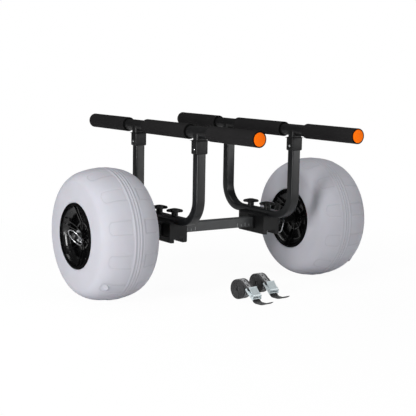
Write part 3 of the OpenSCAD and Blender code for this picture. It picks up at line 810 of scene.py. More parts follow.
@dataclass(frozen=True)
class StudioPaper(Finish):
    """Plain pale paper that the camera sees as nearly white, so that only a faint shadow shows.

    The shadow fades out between two distances from the middle of the cart.
    """

    shadow: float = 0.04
    clear_from: float = 0.5
    clear_to: float = 1.3

    def build(self, graph: Graph) -> None:
        """Adds the nodes, as Finish.build says."""
        paper = graph.node("ShaderNodeBsdfDiffuse", Color=self.colour, Roughness=self.roughness)
        glow = graph.node("ShaderNodeEmission", Color=WHITE, Strength=1.0)
        away = graph.node("ShaderNodeVectorMath", {"operation": "LENGTH"})
        graph.feed(away.inputs[0], graph.place())
        share = graph.spread(away.outputs["Value"], self.clear_from, self.clear_to, 1.0 - self.shadow, 1.0)
        seen = graph.node("ShaderNodeLightPath").outputs["Is Camera Ray"]
        both = graph.mixed(graph.maths("MULTIPLY", seen, share), paper, glow)
        graph.node("ShaderNodeOutputMaterial", Surface=both)


FOAM_CUT = ClosedCellFoam("foam_cut_end", (0.0025, 0.0025, 0.0026), 0.95)
FOAM = ClosedCellFoam("foam_black", (0.0135, 0.013, 0.0135), 0.9)
TUBE = Anodised("tube_satin_black", (0.0085, 0.0092, 0.010), 0.3, (1400.0, 1400.0, 14.0), coat=0.1)
BEAM = Anodised("beam_satin_grey", (0.066, 0.069, 0.071), 0.36, coat=0.15)
BAR_TUBE = Anodised("bar_tube_plain", (0.5, 0.51, 0.52), 0.3, (1400.0, 14.0, 1400.0), metal=1.0, coat=0.0)
AXLE = Anodised("axle_black_oxide", (0.03, 0.03, 0.032), 0.32, (14.0, 900.0, 900.0), metal=0.4, coat=0.1)
TEE = MouldedPlastic("tee_moulded", (0.009, 0.009, 0.0095), 0.42, gloss=0.35)
BLOCK = MouldedPlastic("block_moulded", (0.0055, 0.0057, 0.006), 0.44, 1100.0, depth=0.00008, gloss=0.3)
KNOB = MouldedPlastic("knob_moulded", (0.007, 0.007, 0.0075), 0.4, 1100.0, depth=0.00008, gloss=0.35)
PLAIN_BLACK = MouldedPlastic("plain_black", (0.008, 0.008, 0.0085), 0.45, gloss=0.3)
# The cap's glow is painted light, which makes its orange brighter than the lamps light it
CAP = MouldedPlastic("cap_orange", (1.0, 0.16, 0.001), 0.6, 1600.0, depth=0.00004, gloss=0.08, glow=0.32)
STEEL = PlatedSteel("steel_plated", (0.72, 0.73, 0.75), 0.24)
BUCKLE = PlatedSteel("buckle_plated", (0.80, 0.89, 0.92), 0.3, (90.0, 2600.0, 2600.0), metal=0.3)
RIM = GlossBlack("rim_gloss", (0.0025, 0.0025, 0.0028), 0.24)
LIP = MouldedPlastic("rim_lip_dull", (0.0026, 0.0026, 0.0028), 0.7, gloss=0.04)
TYRE = BalloonRubber("tyre_pale", (0.553, 0.552, 0.603), 0.72)
VALVE = BalloonRubber("valve_pale", (0.543, 0.542, 0.593), 0.72)
WEBBING = WovenWebbing("webbing_striped", (0.066, 0.066, 0.068), 0.75)
PAD = WovenWebbing("webbing_pad", (0.014, 0.014, 0.015), 0.8, striped=False)
INK = ScreenInk("ink_pale", (0.42, 0.43, 0.44), 0.5)
PAPER = StudioPaper("studio_paper", (0.93, 0.93, 0.93), 0.9)


def dress(finish: Finish, *nodes: str) -> None:
    """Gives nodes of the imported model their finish.

    Args:
        finish: The finish they take.
        nodes: The nodes' names.
    """
    for node in nodes:
        materials = bpy.data.objects[node].data.materials
        materials.clear()
        materials.append(finish.material())
        LOG.info("dressed %s in %s", node, finish.name)


def touch_up(piece: Piece, finish: Finish, wanted: Callable[[Vector], bool]) -> None:
    """Gives some faces of a finished piece a second finish.

    Args:
        piece: The piece.
        finish: The second finish.
        wanted: Says of a face's centre whether it takes that finish.
    """
    piece.data.materials.append(finish.material())
    for face in piece.data.polygons:
        if wanted(face.center):
            face.material_index = 1


def finish_piece(piece: Piece, finish: Finish, body: str, slot: str, *nodes: str) -> None:
    """Gives a new piece its finish and its body.

    Args:
        piece: The new piece, in its place.
        finish: The finish it takes.
        body: The body it rides on.
        slot: Not used.
        nodes: The nodes that it stands for.
    """
    piece.data.materials.clear()
    piece.data.materials.append(finish.material())
    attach(piece, body)
    if nodes:
        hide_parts(*nodes)
    LOG.info("made %s on %s: %d faces", piece.name, body, len(piece.data.polygons))


# The cart


@dataclass
class BalloonWheel:
    """A wheel: balloon tyre, moulded rim, bushes and filling plug.

    Distances along the axle are from the wheel's mid-plane and grow outwards. The wall's section
    is a squashed circle whose power says how square it is. Tread pads are sunk into both shoulders,
    and moulding lines run round the crown.
    """

    side: Side
    track: float = 0.660
    axle_height: float = 0.165
    tyre_width: float = 0.159
    line_height: float = 0.0010
    rim_radius: float = 0.0814
    rim_width: float = 0.165
    flange: float = 0.006
    lip_start: float = 0.0768
    wall: float = 0.0035
    power: float = 2.3
    bulge: float = 0.0014
    steps: int = 288
    crown_half: float = 0.0690
    crown_rows: int = 26
    row_pitch: float = 0.0026
    row_gap: float = 0.0016
    shoulder_share: float = 0.62
    bead_drop: float = 0.0034
    bead_length: float = 0.012
    bead_height: float = 0.005
    bead_slope: float = 0.002
    hole_share: float = 0.72
    hole_lean: float = 40.0
    hole_radius: float = 0.00905
    hole_depth: float = 0.011
    pads: int = 12
    pad_angle: float = 12.5
    pad_turn: float = 10.0
    pad_corner: float = 0.009
    pad_rows: tuple[float, ...] = (0.0, 0.0015, 0.0035, 0.0065)
    pad_edge: float = 0.0011
    pad_depth: float = 0.0006
    skin: float = 0.0015
    # How deep under the wall the moulding lines' painted shade reaches
    dust_skin: float = 0.002
    outer_pads: Pair = (0.0085, 0.0655)
    inner_pads: Pair = (-0.0655, -0.0245)
    # Each line's last number is its share of painted shade
    lines: tuple[Mark, ...] = (
        (8.0, 0.0, 0.0), (6.8, 0.08, 0.0), (5.4, 0.5, 0.0), (4.2, 0.88, 0.0), (3.2, 0.92, 0.0),
        (2.2, 0.72, 0.0), (0.8, 0.25, 0.6), (-0.4, 0.0, 1.0), (-1.8, -0.06, 0.3), (-3.1, 0.08, 0.0),
        (-4.5, 0.45, 0.0), (-5.6, 0.66, 0.0), (-6.3, 0.6, 0.0), (-7.3, 0.22, 0.7), (-8.3, 0.0, 0.8),
        (-9.5, 0.06, 0.1), (-11.1, 0.52, 0.0), (-12.5, 0.86, 0.0), (-13.4, 0.86, 0.0), (-14.4, 0.6, 0.2),
        (-15.9, 0.05, 1.0), (-17.1, -0.25, 0.8), (-18.3, -0.18, 0.1), (-20.0, 0.12, 0.0),
        (-21.5, 0.16, 0.0), (-23.2, 0.05, 0.0),
    )

    @property
    def centre(self) -> float:
        """Distance of the mid-plane from the middle of the cart."""
        return self.side.value * self.track / 2

    @property
    def crown(self) -> float:
        """Radius of the tyre between its moulding lines."""
        return self.axle_height - self.line_height

    @property
    def waist(self) -> float:
        """Radius at which the side wall starts."""
        return (self.crown + self.rim_radius) / 2

    def wall_radius(self, off: float) -> float:
        """Radius of the outer wall at a distance from the mid-plane.

        Args:
            off: The distance along the axle.

        Returns:
            The radius.
        """
        share = max(0.0, 1 - (abs(off) / (self.tyre_width / 2)) ** self.power)
        return self.waist + (self.crown - self.waist) * share ** (1 / self.power)

    def crown_marks(self) -> list[Pair]:
        """Distances and heights of the moulding lines and pad edges across the crown."""
        marks = {off / 1000: rise / 1000 for off, rise, _ in self.lines}
        for near, far in (self.outer_pads, self.inner_pads[::-1]):
            inwards = math.copysign(1.0, near)
            for edge in (near, *(far - inwards * row for row in self.pad_rows)):
                marks[edge] = 0.0
        for step in range(-self.crown_rows, self.crown_rows + 1):
            off = step * self.row_pitch
            if all(abs(off - other) > self.row_gap for other in marks):
                marks[off] = 0.0
        return sorted(marks.items(), reverse=True)

    def in_pad(self, middle: Vector) -> bool:
        """Says whether a place on the outer wall is inside a tread pad, whose far corners are round.

        Args:
            middle: The place.

        Returns:
            True inside a pad.
        """
        off = (middle.x - self.centre) * self.side.value
        across = Vector((0.0, middle.y, middle.z - self.axle_height))
        low, high = self.outer_pads if off > 0 else self.inner_pads
        if not low < off < high or across.length < self.wall_radius(off) - self.skin:
            return False
        angle = (math.degrees(math.atan2(across.z, across.y)) - self.pad_turn) % (360 / self.pads)
        from_side = math.radians(min(angle, self.pad_angle - angle)) * self.crown
        from_end = max(abs(low), abs(high)) - abs(off)
        if from_side < 0:
            return False
        inward = (max(0.0, self.pad_corner - from_side), max(0.0, self.pad_corner - from_end))
        return math.hypot(*inward) < self.pad_corner

    def section(self) -> list[Pair]:
        """The tyre's closed section as pairs of distance and radius, outer face first."""
        half, squash = self.tyre_width / 2, 2 / self.power
        foot = self.rim_width / 2 - self.flange - FIT
        lip = half + self.bulge - foot
        seat = self.rim_radius + FIT
        bead = self.rim_radius - self.bead_drop + FIT
        turns = [math.radians(step * 90 / 12 * self.shoulder_share) for step in range(1, 12)]
        offs = [half * math.cos(turn) ** squash for turn in turns]
        face = [(off, self.wall_radius(off)) for off in sorted(offs) if off > self.crown_half]
        for share in (step / 6 for step in range(7)):
            radius = self.waist + share * (seat + lip - self.waist)
            face.append((half + self.bulge * math.sin(QUARTER * share), radius))
        face += arc((half + self.bulge - lip, seat + lip), lip, 0, -90, 6, first=1)
        heel = foot - self.bead_length
        face += [(foot, bead), (heel, bead), (heel, bead + self.bead_height)]
        face.append((heel + self.bead_slope, bead + self.bead_height + self.bead_slope))
        inner, arch = half - self.wall, self.crown - self.waist - self.wall
        for step in range(9):
            angle = QUARTER * step / 9
            face.append((inner * math.cos(angle) ** squash, self.waist + arch * math.sin(angle) ** squash))
        top = [(off, self.wall_radius(off) + rise) for off, rise in self.crown_marks()]
        far_face = [(-off, radius) for off, radius in reversed(face)]
        return top[::-1] + face + [(0.0, self.crown - self.wall)] + far_face

    def on_cart(self, off: float, radius: float) -> Point:
        """Puts a point of the section on the cart, above the axle.

        Args:
            off: The distance from the mid-plane, outwards.
            radius: The distance from the axle.

        Returns:
            The place.
        """
        return (self.centre + self.side.value * off, 0.0, self.axle_height + radius)

    def sink_pads(self, tyre: Piece) -> None:
        """Sinks the shallow tread pads into both shoulders and marks where shade is painted: at the pads'
        inner edges and along the moulding lines.

        Args:
            tyre: The spun tyre.
        """
        pick_faces(tyre, self.in_pad)
        bpy.ops.object.mode_set(mode="EDIT")
        bpy.ops.mesh.inset(thickness=self.pad_edge, depth=-self.pad_depth, use_boundary=True)
        bpy.ops.mesh.region_to_loop()
        bpy.ops.object.mode_set(mode="OBJECT")
        mesh = tyre.data
        # Painted shade: marked at the pads' inner edges and, by their listed shares, along the moulding
        # lines
        dust = [float(vertex.select) for vertex in mesh.vertices]
        marks = sorted((off / 1000, share) for off, _, share in self.lines)
        for number, vertex in enumerate(mesh.vertices):
            off = (vertex.co.x - self.centre) * self.side.value
            across = math.hypot(vertex.co.y, vertex.co.z - self.axle_height)
            if marks[0][0] < off < marks[-1][0] and across > self.wall_radius(off) - self.dust_skin:
                dust[number] = min(marks, key=lambda mark: abs(mark[0] - off))[1]
        mesh.attributes.new("dust", "FLOAT", "POINT").data.foreach_set("value", dust)

    def cut_filling_hole(self, tyre: Piece) -> None:
        """Cuts the hole that the filling plug sits in, square to the wall there.

        Args:
            tyre: The tyre with its pads.
        """
        plug = bpy.data.objects[f"valve_plug_{self.side.word}"].data.vertices
        middle = sum((vertex.co for vertex in plug), Vector()) / len(plug)
        turn = Matrix.Rotation(math.atan2(-middle.y, middle.z - self.axle_height), 3, "X")
        lean = math.radians(self.hole_lean)
        outward = turn @ Vector((-math.sin(lean), 0.0, math.cos(lean)))
        outward.x *= -self.side.value
        off = self.tyre_width / 2 * self.hole_share
        start = turn @ Vector((0.0, 0.0, self.wall_radius(off)))
        start += Vector((self.centre + self.side.value * off, 0.0, self.axle_height))
        deselect_all()
        bpy.ops.mesh.primitive_cylinder_add(
            vertices=48, radius=self.hole_radius, depth=self.hole_depth, location=start
        )
        cutter = bpy.context.object
        cutter.rotation_mode = "QUATERNION"
        cutter.rotation_quaternion = Vector((0, 0, 1)).rotation_difference(outward)
        settle(cutter)
        take_up(tyre)
        boolean = tyre.modifiers.new("filling_hole", "BOOLEAN")
        boolean.operation = "DIFFERENCE"
        boolean.solver = "EXACT"
        boolean.object = cutter
        apply_modifiers(tyre)
        bpy.data.objects.remove(cutter)

    def build_tyre(self) -> None:
        """Builds the tyre."""
        name = f"tyre_{self.side.word}"
        section = [self.on_cart(off, radius) for off, radius in self.section()]
        tyre = spun(f"balloon_{name}", section, (0.0, 0.0, self.axle_height), (1.0, 0.0, 0.0), self.steps)
        self.sink_pads(tyre)
        self.cut_filling_hole(tyre)
        smooth(tyre, 38.0)
        finish_piece(tyre, TYRE, f"wheel_{self.side.word}", "tyre", name)

    def dull_lip(self) -> None:
        """Dulls the rim's lip, where the tyre rubs on it."""
        rim = bpy.data.objects[f"rim_{self.side.word}"]
        place = rim.matrix_world.copy()
        heights = [(place @ Vector(corner)).z for corner in rim.bound_box]
        axle = (min(heights) + max(heights)) / 2
        touch_up(rim, LIP, lambda at: math.dist((place @ at).yz, (0.0, axle)) > self.lip_start)

    def build(self) -> None:
        """Builds and dresses the wheel."""
        word = self.side.word
        self.build_tyre()
        dress(RIM, f"rim_{word}")
        self.dull_lip()
        dress(PLAIN_BLACK, f"hub_bushes_{word}")
        dress(VALVE, f"valve_plug_{word}")


@dataclass
class Chassis:
    """The cross beam with its setting marks, and all that is on the axle."""

    beam_half: float = 0.0127
    axle_height: float = 0.165
    first_mark: float = 0.0673
    mark_pitch: float = 0.0127
    mark_foot: float = 0.0032
    marks: int = 5
    long_mark: float = 0.0092
    short_mark: float = 0.0056
    mark_width: float = 0.0013
    ink: float = 0.00008

    def mark(self, along: float, length: float) -> Piece:
        """Makes one printed mark on the front of the beam.

        Args:
            along: Its distance from the middle of the cart.
            length: Its height.

        Returns:
            The mark.
        """
        middle = self.axle_height - self.beam_half + self.mark_foot + length / 2
        made = boxed((along, -self.beam_half - self.ink / 2, middle), (self.mark_width, self.ink, length))
        edit_all()
        bpy.ops.mesh.bevel(offset=self.ink / 4, segments=1)
        bpy.ops.object.mode_set(mode="OBJECT")
        return made

    def build_marks(self) -> None:
        """Prints the setting marks by which the side frames are set to a hull's width."""
        made = []
        for side in Side:
            for step in range(self.marks):
                length = self.short_mark if step % 2 else self.long_mark
                made.append(self.mark(side.value * (self.first_mark + step * self.mark_pitch), length))
        finish_piece(join("beam_setting_marks", made), INK, "chassis", "tube")

    def build(self) -> None:
        """Builds the marks and dresses the nodes."""
        self.build_marks()
        dress(BEAM, "cross_beam")
        dress(PLAIN_BLACK, "beam_end_plugs", "axle_spacers")
        dress(AXLE, "axle_rod")
        dress(STEEL, "axle_washers", "lock_pins")
        for side in Side:
            dress(STEEL, f"pin_ring_{side.word}", f"pin_bail_{side.word}")


@dataclass
class SideFrame:
    """One clamp block, U tube and padded bunk bar, with its knobs and buttons."""

    side: Side
    bar_x: float = 0.147
    bar_height: float = 0.4212
    bar_radius: float = 0.0127
    foam_radius: float = 0.019
    foam_ease: float = 0.0026
    cap_ease: float = 0.0009
    foam_ring: float = 0.012
    swells: tuple[Point, ...] = ((0.000054, 210.0, 0.0), (0.000036, 97.0, 1.3))
    swell_drop: float = 0.0001
    middle_half: float = 0.1044
    inner_end: float = 0.1967
    outer_end: float = 0.3902
    cap_seat: float = 0.3861
    cap_radius: float = 0.016
    cap_gap: float = 0.0003
    cut_depth: float = 0.0017
    steps: int = 72
    tube_width: float = 0.0252
    tube_corner: float = 0.0028
    leg_depth: float = 0.0218
    run_depth: float = 0.0178
    leg_y: float = 0.1462
    leg_top: float = 0.400
    bend_height: float = 0.255
    bend_radius: float = 0.0621
    bend_steps: int = 16
    jacket_size: Pair = (0.0332, 0.0268)
    jacket_span: Pair = (0.3682, 0.4035)
    jacket_bevels: tuple[tuple[float, int], ...] = ((0.0034, 4), (0.0062, 3), (0.0016, 2))

    @property
    def bar_at(self) -> float:
        """Where the bar is along the axle."""
        return self.side.value * self.bar_x

    def sleeve(self, name: str, start: float, stop: float, recess: bool) -> Piece:
        """Builds one foam sleeve round the bar.

        Args:
            name: The name of the piece.
            start: Where its inner end is along the bar.
            stop: Where its outer end is; its sign gives the direction.
            recess: Whether the outer end holds a cap's head.

        Returns:
            The sleeve.
        """
        way, length = math.copysign(1.0, stop - start), abs(stop - start)
        bore, ease = self.bar_radius + FIT, self.foam_ease
        edge = self.cap_ease if recess else ease
        profile = [(0.0, bore), (0.0, self.foam_radius - ease)]
        profile += arc((ease, self.foam_radius - ease), ease, 180, 90, 6, first=1)
        rings = max(4, round(length / self.foam_ring))
        for step in range(1, rings):
            along = ease + (length - 2 * ease) * step / rings
            swell = sum(height * math.sin(along * pace + lead) for height, pace, lead in self.swells)
            profile.append((along, self.foam_radius - self.swell_drop + swell))
        profile += arc((length - edge, self.foam_radius - edge), edge, 90, 0, 6)
        if recess:
            seat, rim = abs(self.cap_seat - abs(start)) - FIT, self.cap_radius + self.cap_gap
            profile += [(length, rim), (seat, rim), (seat, bore)]
        else:
            profile.append((length, bore))
        section = [(self.bar_at, start + way * along, self.bar_height + radius) for along, radius in profile]
        made = spun(name, section, (self.bar_at, 0.0, self.bar_height), (0.0, 1.0, 0.0), self.steps)
        smooth(made, 40.0)
        return made

    def build_foam(self) -> None:
        """Builds the three foam sleeves of the bar, whose cut ends are coloured darker than their sides."""
        word = self.side.word
        plans = (
            ("middle", -self.middle_half, self.middle_half, False),
            ("front", -self.inner_end, -self.outer_end, True),
            ("back", self.inner_end, self.outer_end, True),
        )
        for part, start, stop, recess in plans:
            made = self.sleeve(f"foam_sleeve_{part}_{word}", start, stop, recess)
            finish_piece(made, FOAM, f"side_{word}", "foam", f"foam_{part}_{word}")
            middle, reach = (start + stop) / 2, abs(stop - start) / 2 - self.cut_depth
            touch_up(made, FOAM_CUT, lambda centre: abs(centre.y - middle) >= reach)

    def tube_ring(self) -> list[Point]:
        """The leg's rounded outline at its top, corner by corner."""
        inner_x, inner_y = self.tube_width / 2 - self.tube_corner, self.leg_depth / 2 - self.tube_corner
        ring = []
        for corner, (way_x, way_y) in enumerate(((1, 1), (-1, 1), (-1, -1), (1, -1))):
            middle = (self.bar_at + way_x * inner_x, self.leg_y + way_y * inner_y)
            ring += arc(middle, self.tube_corner, corner * 90, corner * 90 + 90, 5)
        return [(x, y, self.leg_top) for x, y in ring]

    def build_u_tube(self) -> None:
        """Builds the bent tube: a leg drawn down, turned through its bend, run across and up again."""
        word = self.side.word
        bend_y = self.leg_y - self.bend_radius
        drop = self.bend_height - self.leg_top
        tube = outline(f"bent_tube_{word}", self.tube_ring())
        edit_all()
        for way, bend in (((0, 0, drop), bend_y), ((0, -2 * bend_y, 0), -bend_y), ((0, 0, -drop), None)):
            bpy.ops.mesh.extrude_region_move(TRANSFORM_OT_translate={"value": way})
            if bend is not None:
                centre = (self.bar_at, bend, self.bend_height)
                bpy.ops.mesh.spin(steps=self.bend_steps, angle=QUARTER, center=centre, axis=(1, 0, 0))
        close_up(fill=True)
        self.flatten_run(tube, bend_y)
        smooth(tube, 40.0)
        finish_piece(tube, TUBE, f"side_{word}", "tube", f"u_frame_{word}")

    def flatten_run(self, tube: Piece, bend_y: float) -> None:
        """Flattens the tube through its bends, so that the run is shallower than the legs.

        Args:
            tube: The tube at the legs' depth all along.
            bend_y: Where the bends' middles are along the bars.
        """
        shallow = self.run_depth / self.leg_depth
        for vertex in tube.data.vertices:
            place = vertex.co
            if place.z >= self.bend_height:
                continue
            way = math.copysign(1.0, place.y)
            across = max(0.0, abs(place.y) - bend_y)
            down = self.bend_height - place.z
            turned = math.atan2(down, across) / QUARTER
            reach = math.hypot(across, down)
            wanted = self.bend_radius + (reach - self.bend_radius) * (1 + (shallow - 1) * turned)
            if across > 0:
                place.y = way * (bend_y + across * wanted / reach)
            place.z = self.bend_height - down * wanted / reach

    def build_jackets(self) -> None:
        """Builds the thick-walled sockets over the legs' tops, with round corners, shoulders and mouths."""
        low, high = self.jacket_span
        level = 1e-5
        picks: tuple[Callable[[Vector, Vector], bool], ...] = (
            lambda a, b: abs(a.z - b.z) > (high - low) / 2,
            lambda a, b: min(a.z, b.z) > high - level,
            lambda a, b: max(a.z, b.z) < low + level,
        )
        made = []
        for way in (-1, 1):
            at = (self.bar_at, way * self.leg_y, (low + high) / 2)
            jacket = boxed(at, (*self.jacket_size, high - low))
            for wanted, (offset, segments) in zip(picks, self.jacket_bevels):
                pick_edges(jacket, wanted)
                bevel_picked(offset, segments)
            made.append(jacket)
        jackets = join(f"tee_jackets_{self.side.word}", made)
        smooth(jackets, 35.0)
        finish_piece(jackets, TEE, f"side_{self.side.word}", "tee")

    def build(self) -> None:
        """Builds the foam, the tube and the sockets, and dresses the nodes."""
        word = self.side.word
        self.build_foam()
        self.build_u_tube()
        self.build_jackets()
        plans = (
            (BLOCK, ("clamp_block",)),
            (TEE, ("tee_sockets",)),
            (BAR_TUBE, ("bunk_tube",)),
            (CAP, ("end_caps",)),
            (KNOB, ("knob_front", "knob_back")),
            (STEEL, ("snap_button_front", "snap_button_back", "snap_springs")),
            (STEEL, ("knob_stud_front", "knob_stud_back")),
            # The nut plate's dark finish is painted shade: the plate sits in the shaded channel under the
            # block
            (AXLE, ("knob_washers", "nut_plate")),
        )
        for finish, nodes in plans:
            dress(finish, *(f"{node}_{word}" for node in nodes))


@dataclass
class TieDownStrap:
    """A rolled strap with its pad and cam buckle, lying on the floor.

    Its paths are pairs of the distance from the roll's middle towards the camera and the height.
    """

    side: Side
    at: Pair
    turn: float
    width: float = 0.025
    thickness: float = 0.0012
    woven: float = 0.92
    soft_edge: float = 0.3
    pitch: float = 0.0017
    turns: int = 12
    slope: float = 42.0
    end_radius: float = 0.0254
    per_turn: int = 24
    columns: int = 6
    pad_start: float = 0.013
    pad_bend: float = 0.014
    pad_run: float = 0.015
    pad_curl: float = 0.034
    pad_curl_turn: float = 40.0
    buckle_length: float = 0.036
    buckle_gap: float = 0.002
    bar_along: float = 0.0024
    bar_height: float = 0.00305
    wrap_radius: float = 0.00245
    lap_gap: float = 0.00045
    lap_length: float = 0.008
    lap_fall: float = 25.0
    lap_ease: float = 0.0008

    def radius_at(self, angle: float) -> float:
        """Radius of the roll's middle line at an angle from its start.

        Args:
            angle: The angle in degrees, from the top and towards the camera.

        Returns:
            The radius.
        """
        return self.end_radius - self.pitch * (self.slope + 360 * self.turns - angle) / 360

    @property
    def roll_height(self) -> float:
        """Height of the roll's middle."""
        return self.radius_at(360 * self.turns - 180) + self.thickness / 2

    def to_cart(self, towards: float, height: float, across: float) -> Vector:
        """Puts a point of the strap on the cart.

        Args:
            towards: The distance from the roll's middle towards the camera.
            height: The height above the floor.
            across: The distance along the webbing's width, from its middle.

        Returns:
            The place.
        """
        point = Vector((across, -towards, height))
        point.rotate(Matrix.Rotation(math.radians(self.turn), 3, "Z"))
        return point + Vector((*self.at, 0.0))

    def roll_path(self) -> list[Pair]:
        """The webbing's middle line, from the core to the buckle."""
        path = []
        steps = self.per_turn * self.turns
        for step in range(steps + 1):
            angle = self.slope + 360 * self.turns * step / steps
            radius, turn = self.radius_at(angle), math.radians(angle)
            path.append((radius * math.sin(turn), self.roll_height + radius * math.cos(turn)))
        reach = self.slope_length() + self.bar_along
        path += [self.on_slope(reach * step / 5, self.thickness / 2) for step in range(1, 5)]
        return path + [self.on_slope(self.slope_length() + along, off) for along, off in self.loop_path()]

    def on_slope(self, along: float, off: float) -> Pair:
        """Puts a point given down the slope and off the webbing's underside on the path.

        Args:
            along: The distance down the slope from the roll.
            off: The distance off the webbing's underside.

        Returns:
            The distance towards the camera and the height.
        """
        down, across = math.sin(math.radians(self.slope)), math.cos(math.radians(self.slope))
        out = self.end_radius + off - self.thickness / 2
        return (out * down + along * across, self.roll_height + out * across - along * down)

    def loop_path(self) -> list[Pair]:
        """The webbing under the buckle's bar, round it and back onto itself, where it is sewn."""
        path = arc((self.bar_along, self.bar_height), self.wrap_radius, -90, 90 + self.lap_fall, 14)
        fall = math.tan(math.radians(self.lap_fall))
        rest = 1.5 * self.thickness + self.lap_gap
        foot = path[-1][0] - (path[-1][1] - rest) / fall
        path.append((foot + self.lap_ease, rest + self.lap_ease * fall))
        return path + [(foot - back, rest) for back in (self.lap_ease, self.lap_length / 2, self.lap_length)]

    def pad_line(self) -> float:
        """Length of the pad's slope down to the floor."""
        top = self.on_slope(0.0, -self.thickness / 2)
        return (top[1] - self.thickness / 2) / math.sin(math.radians(self.slope))

    def slope_end(self) -> float:
        """Distance down the slope from the roll to the start of the pad's bend."""
        return self.pad_line() - self.pad_bend * math.tan(math.radians(self.slope) / 2)

    def slope_length(self) -> float:
        """Distance down the slope from the roll to the buckle."""
        return self.slope_end() - self.buckle_length - self.buckle_gap

    def pad_path(self) -> list[Pair]:
        """The pad's middle line, down the slope and along the floor to its curled tip."""
        rad, half, along = math.radians(self.slope), self.thickness / 2, self.slope_end()
        downs = [self.pad_start + (along - self.pad_start) * step / 8 for step in range(9)]
        path = [self.on_slope(down, -half) for down in downs]
        floor = self.on_slope(along, -half)[0] + self.pad_bend * math.sin(rad)
        path += arc((floor, half + self.pad_bend), self.pad_bend, -90 - self.slope, -90, 8, first=1)
        path += [(floor + self.pad_run * step / 4, half) for step in range(1, 5)]
        curl = (floor + self.pad_run, half + self.pad_curl)
        return path + arc(curl, self.pad_curl, -90, -90 + self.pad_curl_turn, 8, first=1)

    def ribbon(self, name: str, path: Sequence[Pair]) -> Piece:
        """Builds a band of webbing along a path.

        Args:
            name: The name of the piece.
            path: The band's middle line.

        Returns:
            The band, with a UV map in metres.
        """
        deselect_all()
        rows, columns, thickness = len(path), self.columns, self.thickness * self.woven
        bpy.ops.mesh.primitive_grid_add(x_subdivisions=columns, y_subdivisions=rows - 1, size=1.0)
        made = bpy.context.object
        made.name = name
        mesh = made.data
        lengths = list(accumulate((math.dist(*ends) for ends in zip(path, path[1:])), initial=0.0))
        order: list[Pair] = []
        for vertex in mesh.vertices:
            column = round((vertex.co.x + 0.5) * columns)
            row = min(rows - 1, round((vertex.co.y + 0.5) * (rows - 1)))
            across = (column / columns - 0.5) * self.width
            vertex.co = self.to_cart(*path[row], across)
            order.append((across + self.width / 2, lengths[row]))
        cloth = mesh.uv_layers.new(name="cloth")
        for loop in mesh.loops:
            cloth.data[loop.index].uv = order[loop.vertex_index]
        for layer in [layer.name for layer in mesh.uv_layers if layer.name != "cloth"]:
            mesh.uv_layers.remove(mesh.uv_layers[layer])
        solid = made.modifiers.new("thickness", "SOLIDIFY")
        solid.thickness = thickness
        solid.offset = 0.0
        solid.use_even_offset = True
        edge = made.modifiers.new("soft_edge", "BEVEL")
        edge.width = thickness * self.soft_edge
        edge.segments = 2
        edge.limit_method = "ANGLE"
        edge.angle_limit = math.radians(60)
        apply_modifiers(made)
        smooth(made, 50.0)
        return made

    def build(self) -> None:
        """Builds the webbing and pad and dresses the buckle."""
        word = self.side.word
        path, pad_path = self.roll_path(), self.pad_path()
        web = self.ribbon(f"rolled_webbing_{word}", path)
        finish_piece(web, WEBBING, f"strap_{word}", "webbing", f"strap_webbing_{word}")
        pad = self.ribbon(f"strap_pad_{word}", pad_path)
        finish_piece(pad, PAD, f"strap_{word}", "webbing")
        dress(BUCKLE, f"buckle_frame_{word}", f"cam_lever_{word}")
        dress(STEEL, f"cam_pin_{word}")


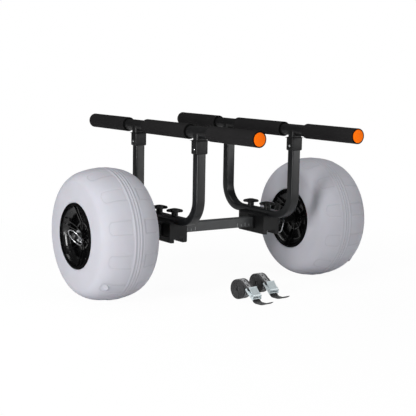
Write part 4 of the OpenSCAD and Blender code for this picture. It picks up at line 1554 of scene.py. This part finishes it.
@dataclass
class Studio:
    """The camera, the lights and the floor.

    Each lamp is a soft box: its name, where it stands, what it points at, its width and height in
    metres, and its power in watts.
    """

    location: Point = (-1.6091, -2.3466, 0.5996)
    yaw: float = 34.106
    pitch: float = -7.828
    roll: float = 0.99
    lens: float = 94.02
    sensor: float = 36.0
    clip: Pair = (0.05, 60.0)
    dim: float = 0.05
    floor_radius: float = 1.9
    floor_drop: float = 0.0002
    lamps: tuple[tuple[str, Point, Point, Pair, float], ...] = (
        ("key_box", (-1.95, -0.72, 0.58), (0.0, -0.05, 0.2), (0.42, 1.05), 27.0),
        ("front_box", (1.60, -2.10, 0.70), (0.0, 0.0, 0.25), (2.0, 1.4), 21.0),
        ("low_box", (-1.45, -1.15, 0.04), (-0.33, 0.0, 0.06), (0.7, 0.06), 3.4),
        ("top_box", (-0.2, -0.1, 2.8), (-0.1, 0.0, 0.0), (1.8, 1.8), 30.0),
    )

    def camera(self) -> None:
        """Sets up the camera that took the picture."""
        data = bpy.data.cameras.new("studio_camera")
        data.lens = self.lens
        data.sensor_width = self.sensor
        data.clip_start, data.clip_end = self.clip
        made = bpy.data.objects.new("studio_camera", data)
        bpy.context.scene.collection.objects.link(made)
        yaw, pitch, roll = (math.radians(a) for a in (self.yaw, self.pitch, self.roll))
        forward = Vector((math.sin(yaw) * math.cos(pitch), math.cos(yaw) * math.cos(pitch), math.sin(pitch)))
        right = Vector((math.cos(yaw), -math.sin(yaw), 0.0))
        up = right.cross(forward)
        level, tilt = math.cos(roll), math.sin(roll)
        right, up = right * level + up * tilt, up * level - right * tilt
        turned = Matrix((right, up, -forward)).transposed()
        made.matrix_world = Matrix.Translation(self.location) @ turned.to_4x4()
        bpy.context.scene.camera = made

    def light(self) -> None:
        """Adds the soft boxes."""
        for name, at, aim, size, watts in self.lamps:
            data = bpy.data.lights.new(name, "AREA")
            data.shape = "RECTANGLE"
            data.size, data.size_y = size
            data.energy = watts
            made = bpy.data.objects.new(name, data)
            bpy.context.scene.collection.objects.link(made)
            made.location = at
            made.rotation_euler = (Vector(aim) - Vector(at)).to_track_quat("-Z", "Y").to_euler()

    def floor(self) -> None:
        """Lays a round of pale paper just under the wheels."""
        deselect_all()
        at = (0.0, 0.0, -self.floor_drop)
        bpy.ops.mesh.primitive_circle_add(
            vertices=96, radius=self.floor_radius, fill_type="NGON", location=at
        )
        paper = bpy.context.object
        paper.name = "studio_floor"
        paper.data.materials.append(PAPER.material())
        settle(paper)

    def surroundings(self) -> None:
        """Sets a backdrop that the camera sees as white and that lights the cart only dimly."""
        world = bpy.data.worlds.new("studio_light")
        world.use_nodes = True
        world.node_tree.nodes.clear()
        graph = Graph(world.node_tree)
        dim = graph.node("ShaderNodeBackground", Color=WHITE, Strength=self.dim)
        white = graph.node("ShaderNodeBackground", Color=WHITE, Strength=1.0)
        seen = graph.node("ShaderNodeLightPath").outputs["Is Camera Ray"]
        graph.node("ShaderNodeOutputWorld", Surface=graph.mixed(seen, dim, white))
        bpy.context.scene.world = world

    def build(self) -> None:
        """Sets up the whole studio but its camera."""
        self.surroundings()
        self.light()
        self.floor()
        settings = bpy.context.scene.view_settings
        settings.view_transform = "Standard"
        settings.look = "None"


def main() -> None:
    """Builds the cart and the studio, in order."""
    logging.basicConfig(level=logging.INFO, format="%(name)s: %(message)s")
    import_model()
    studio = Studio()
    studio.camera()
    TieDownStrap(Side.LEFT, (-0.028, -0.166), 7.0).build()
    TieDownStrap(Side.RIGHT, (0.056, -0.130), 4.0).build()
    Chassis().build()
    for side in Side:
        BalloonWheel(side).build()
        SideFrame(side).build()
    studio.build()


if __name__ == "__main__":
    main()
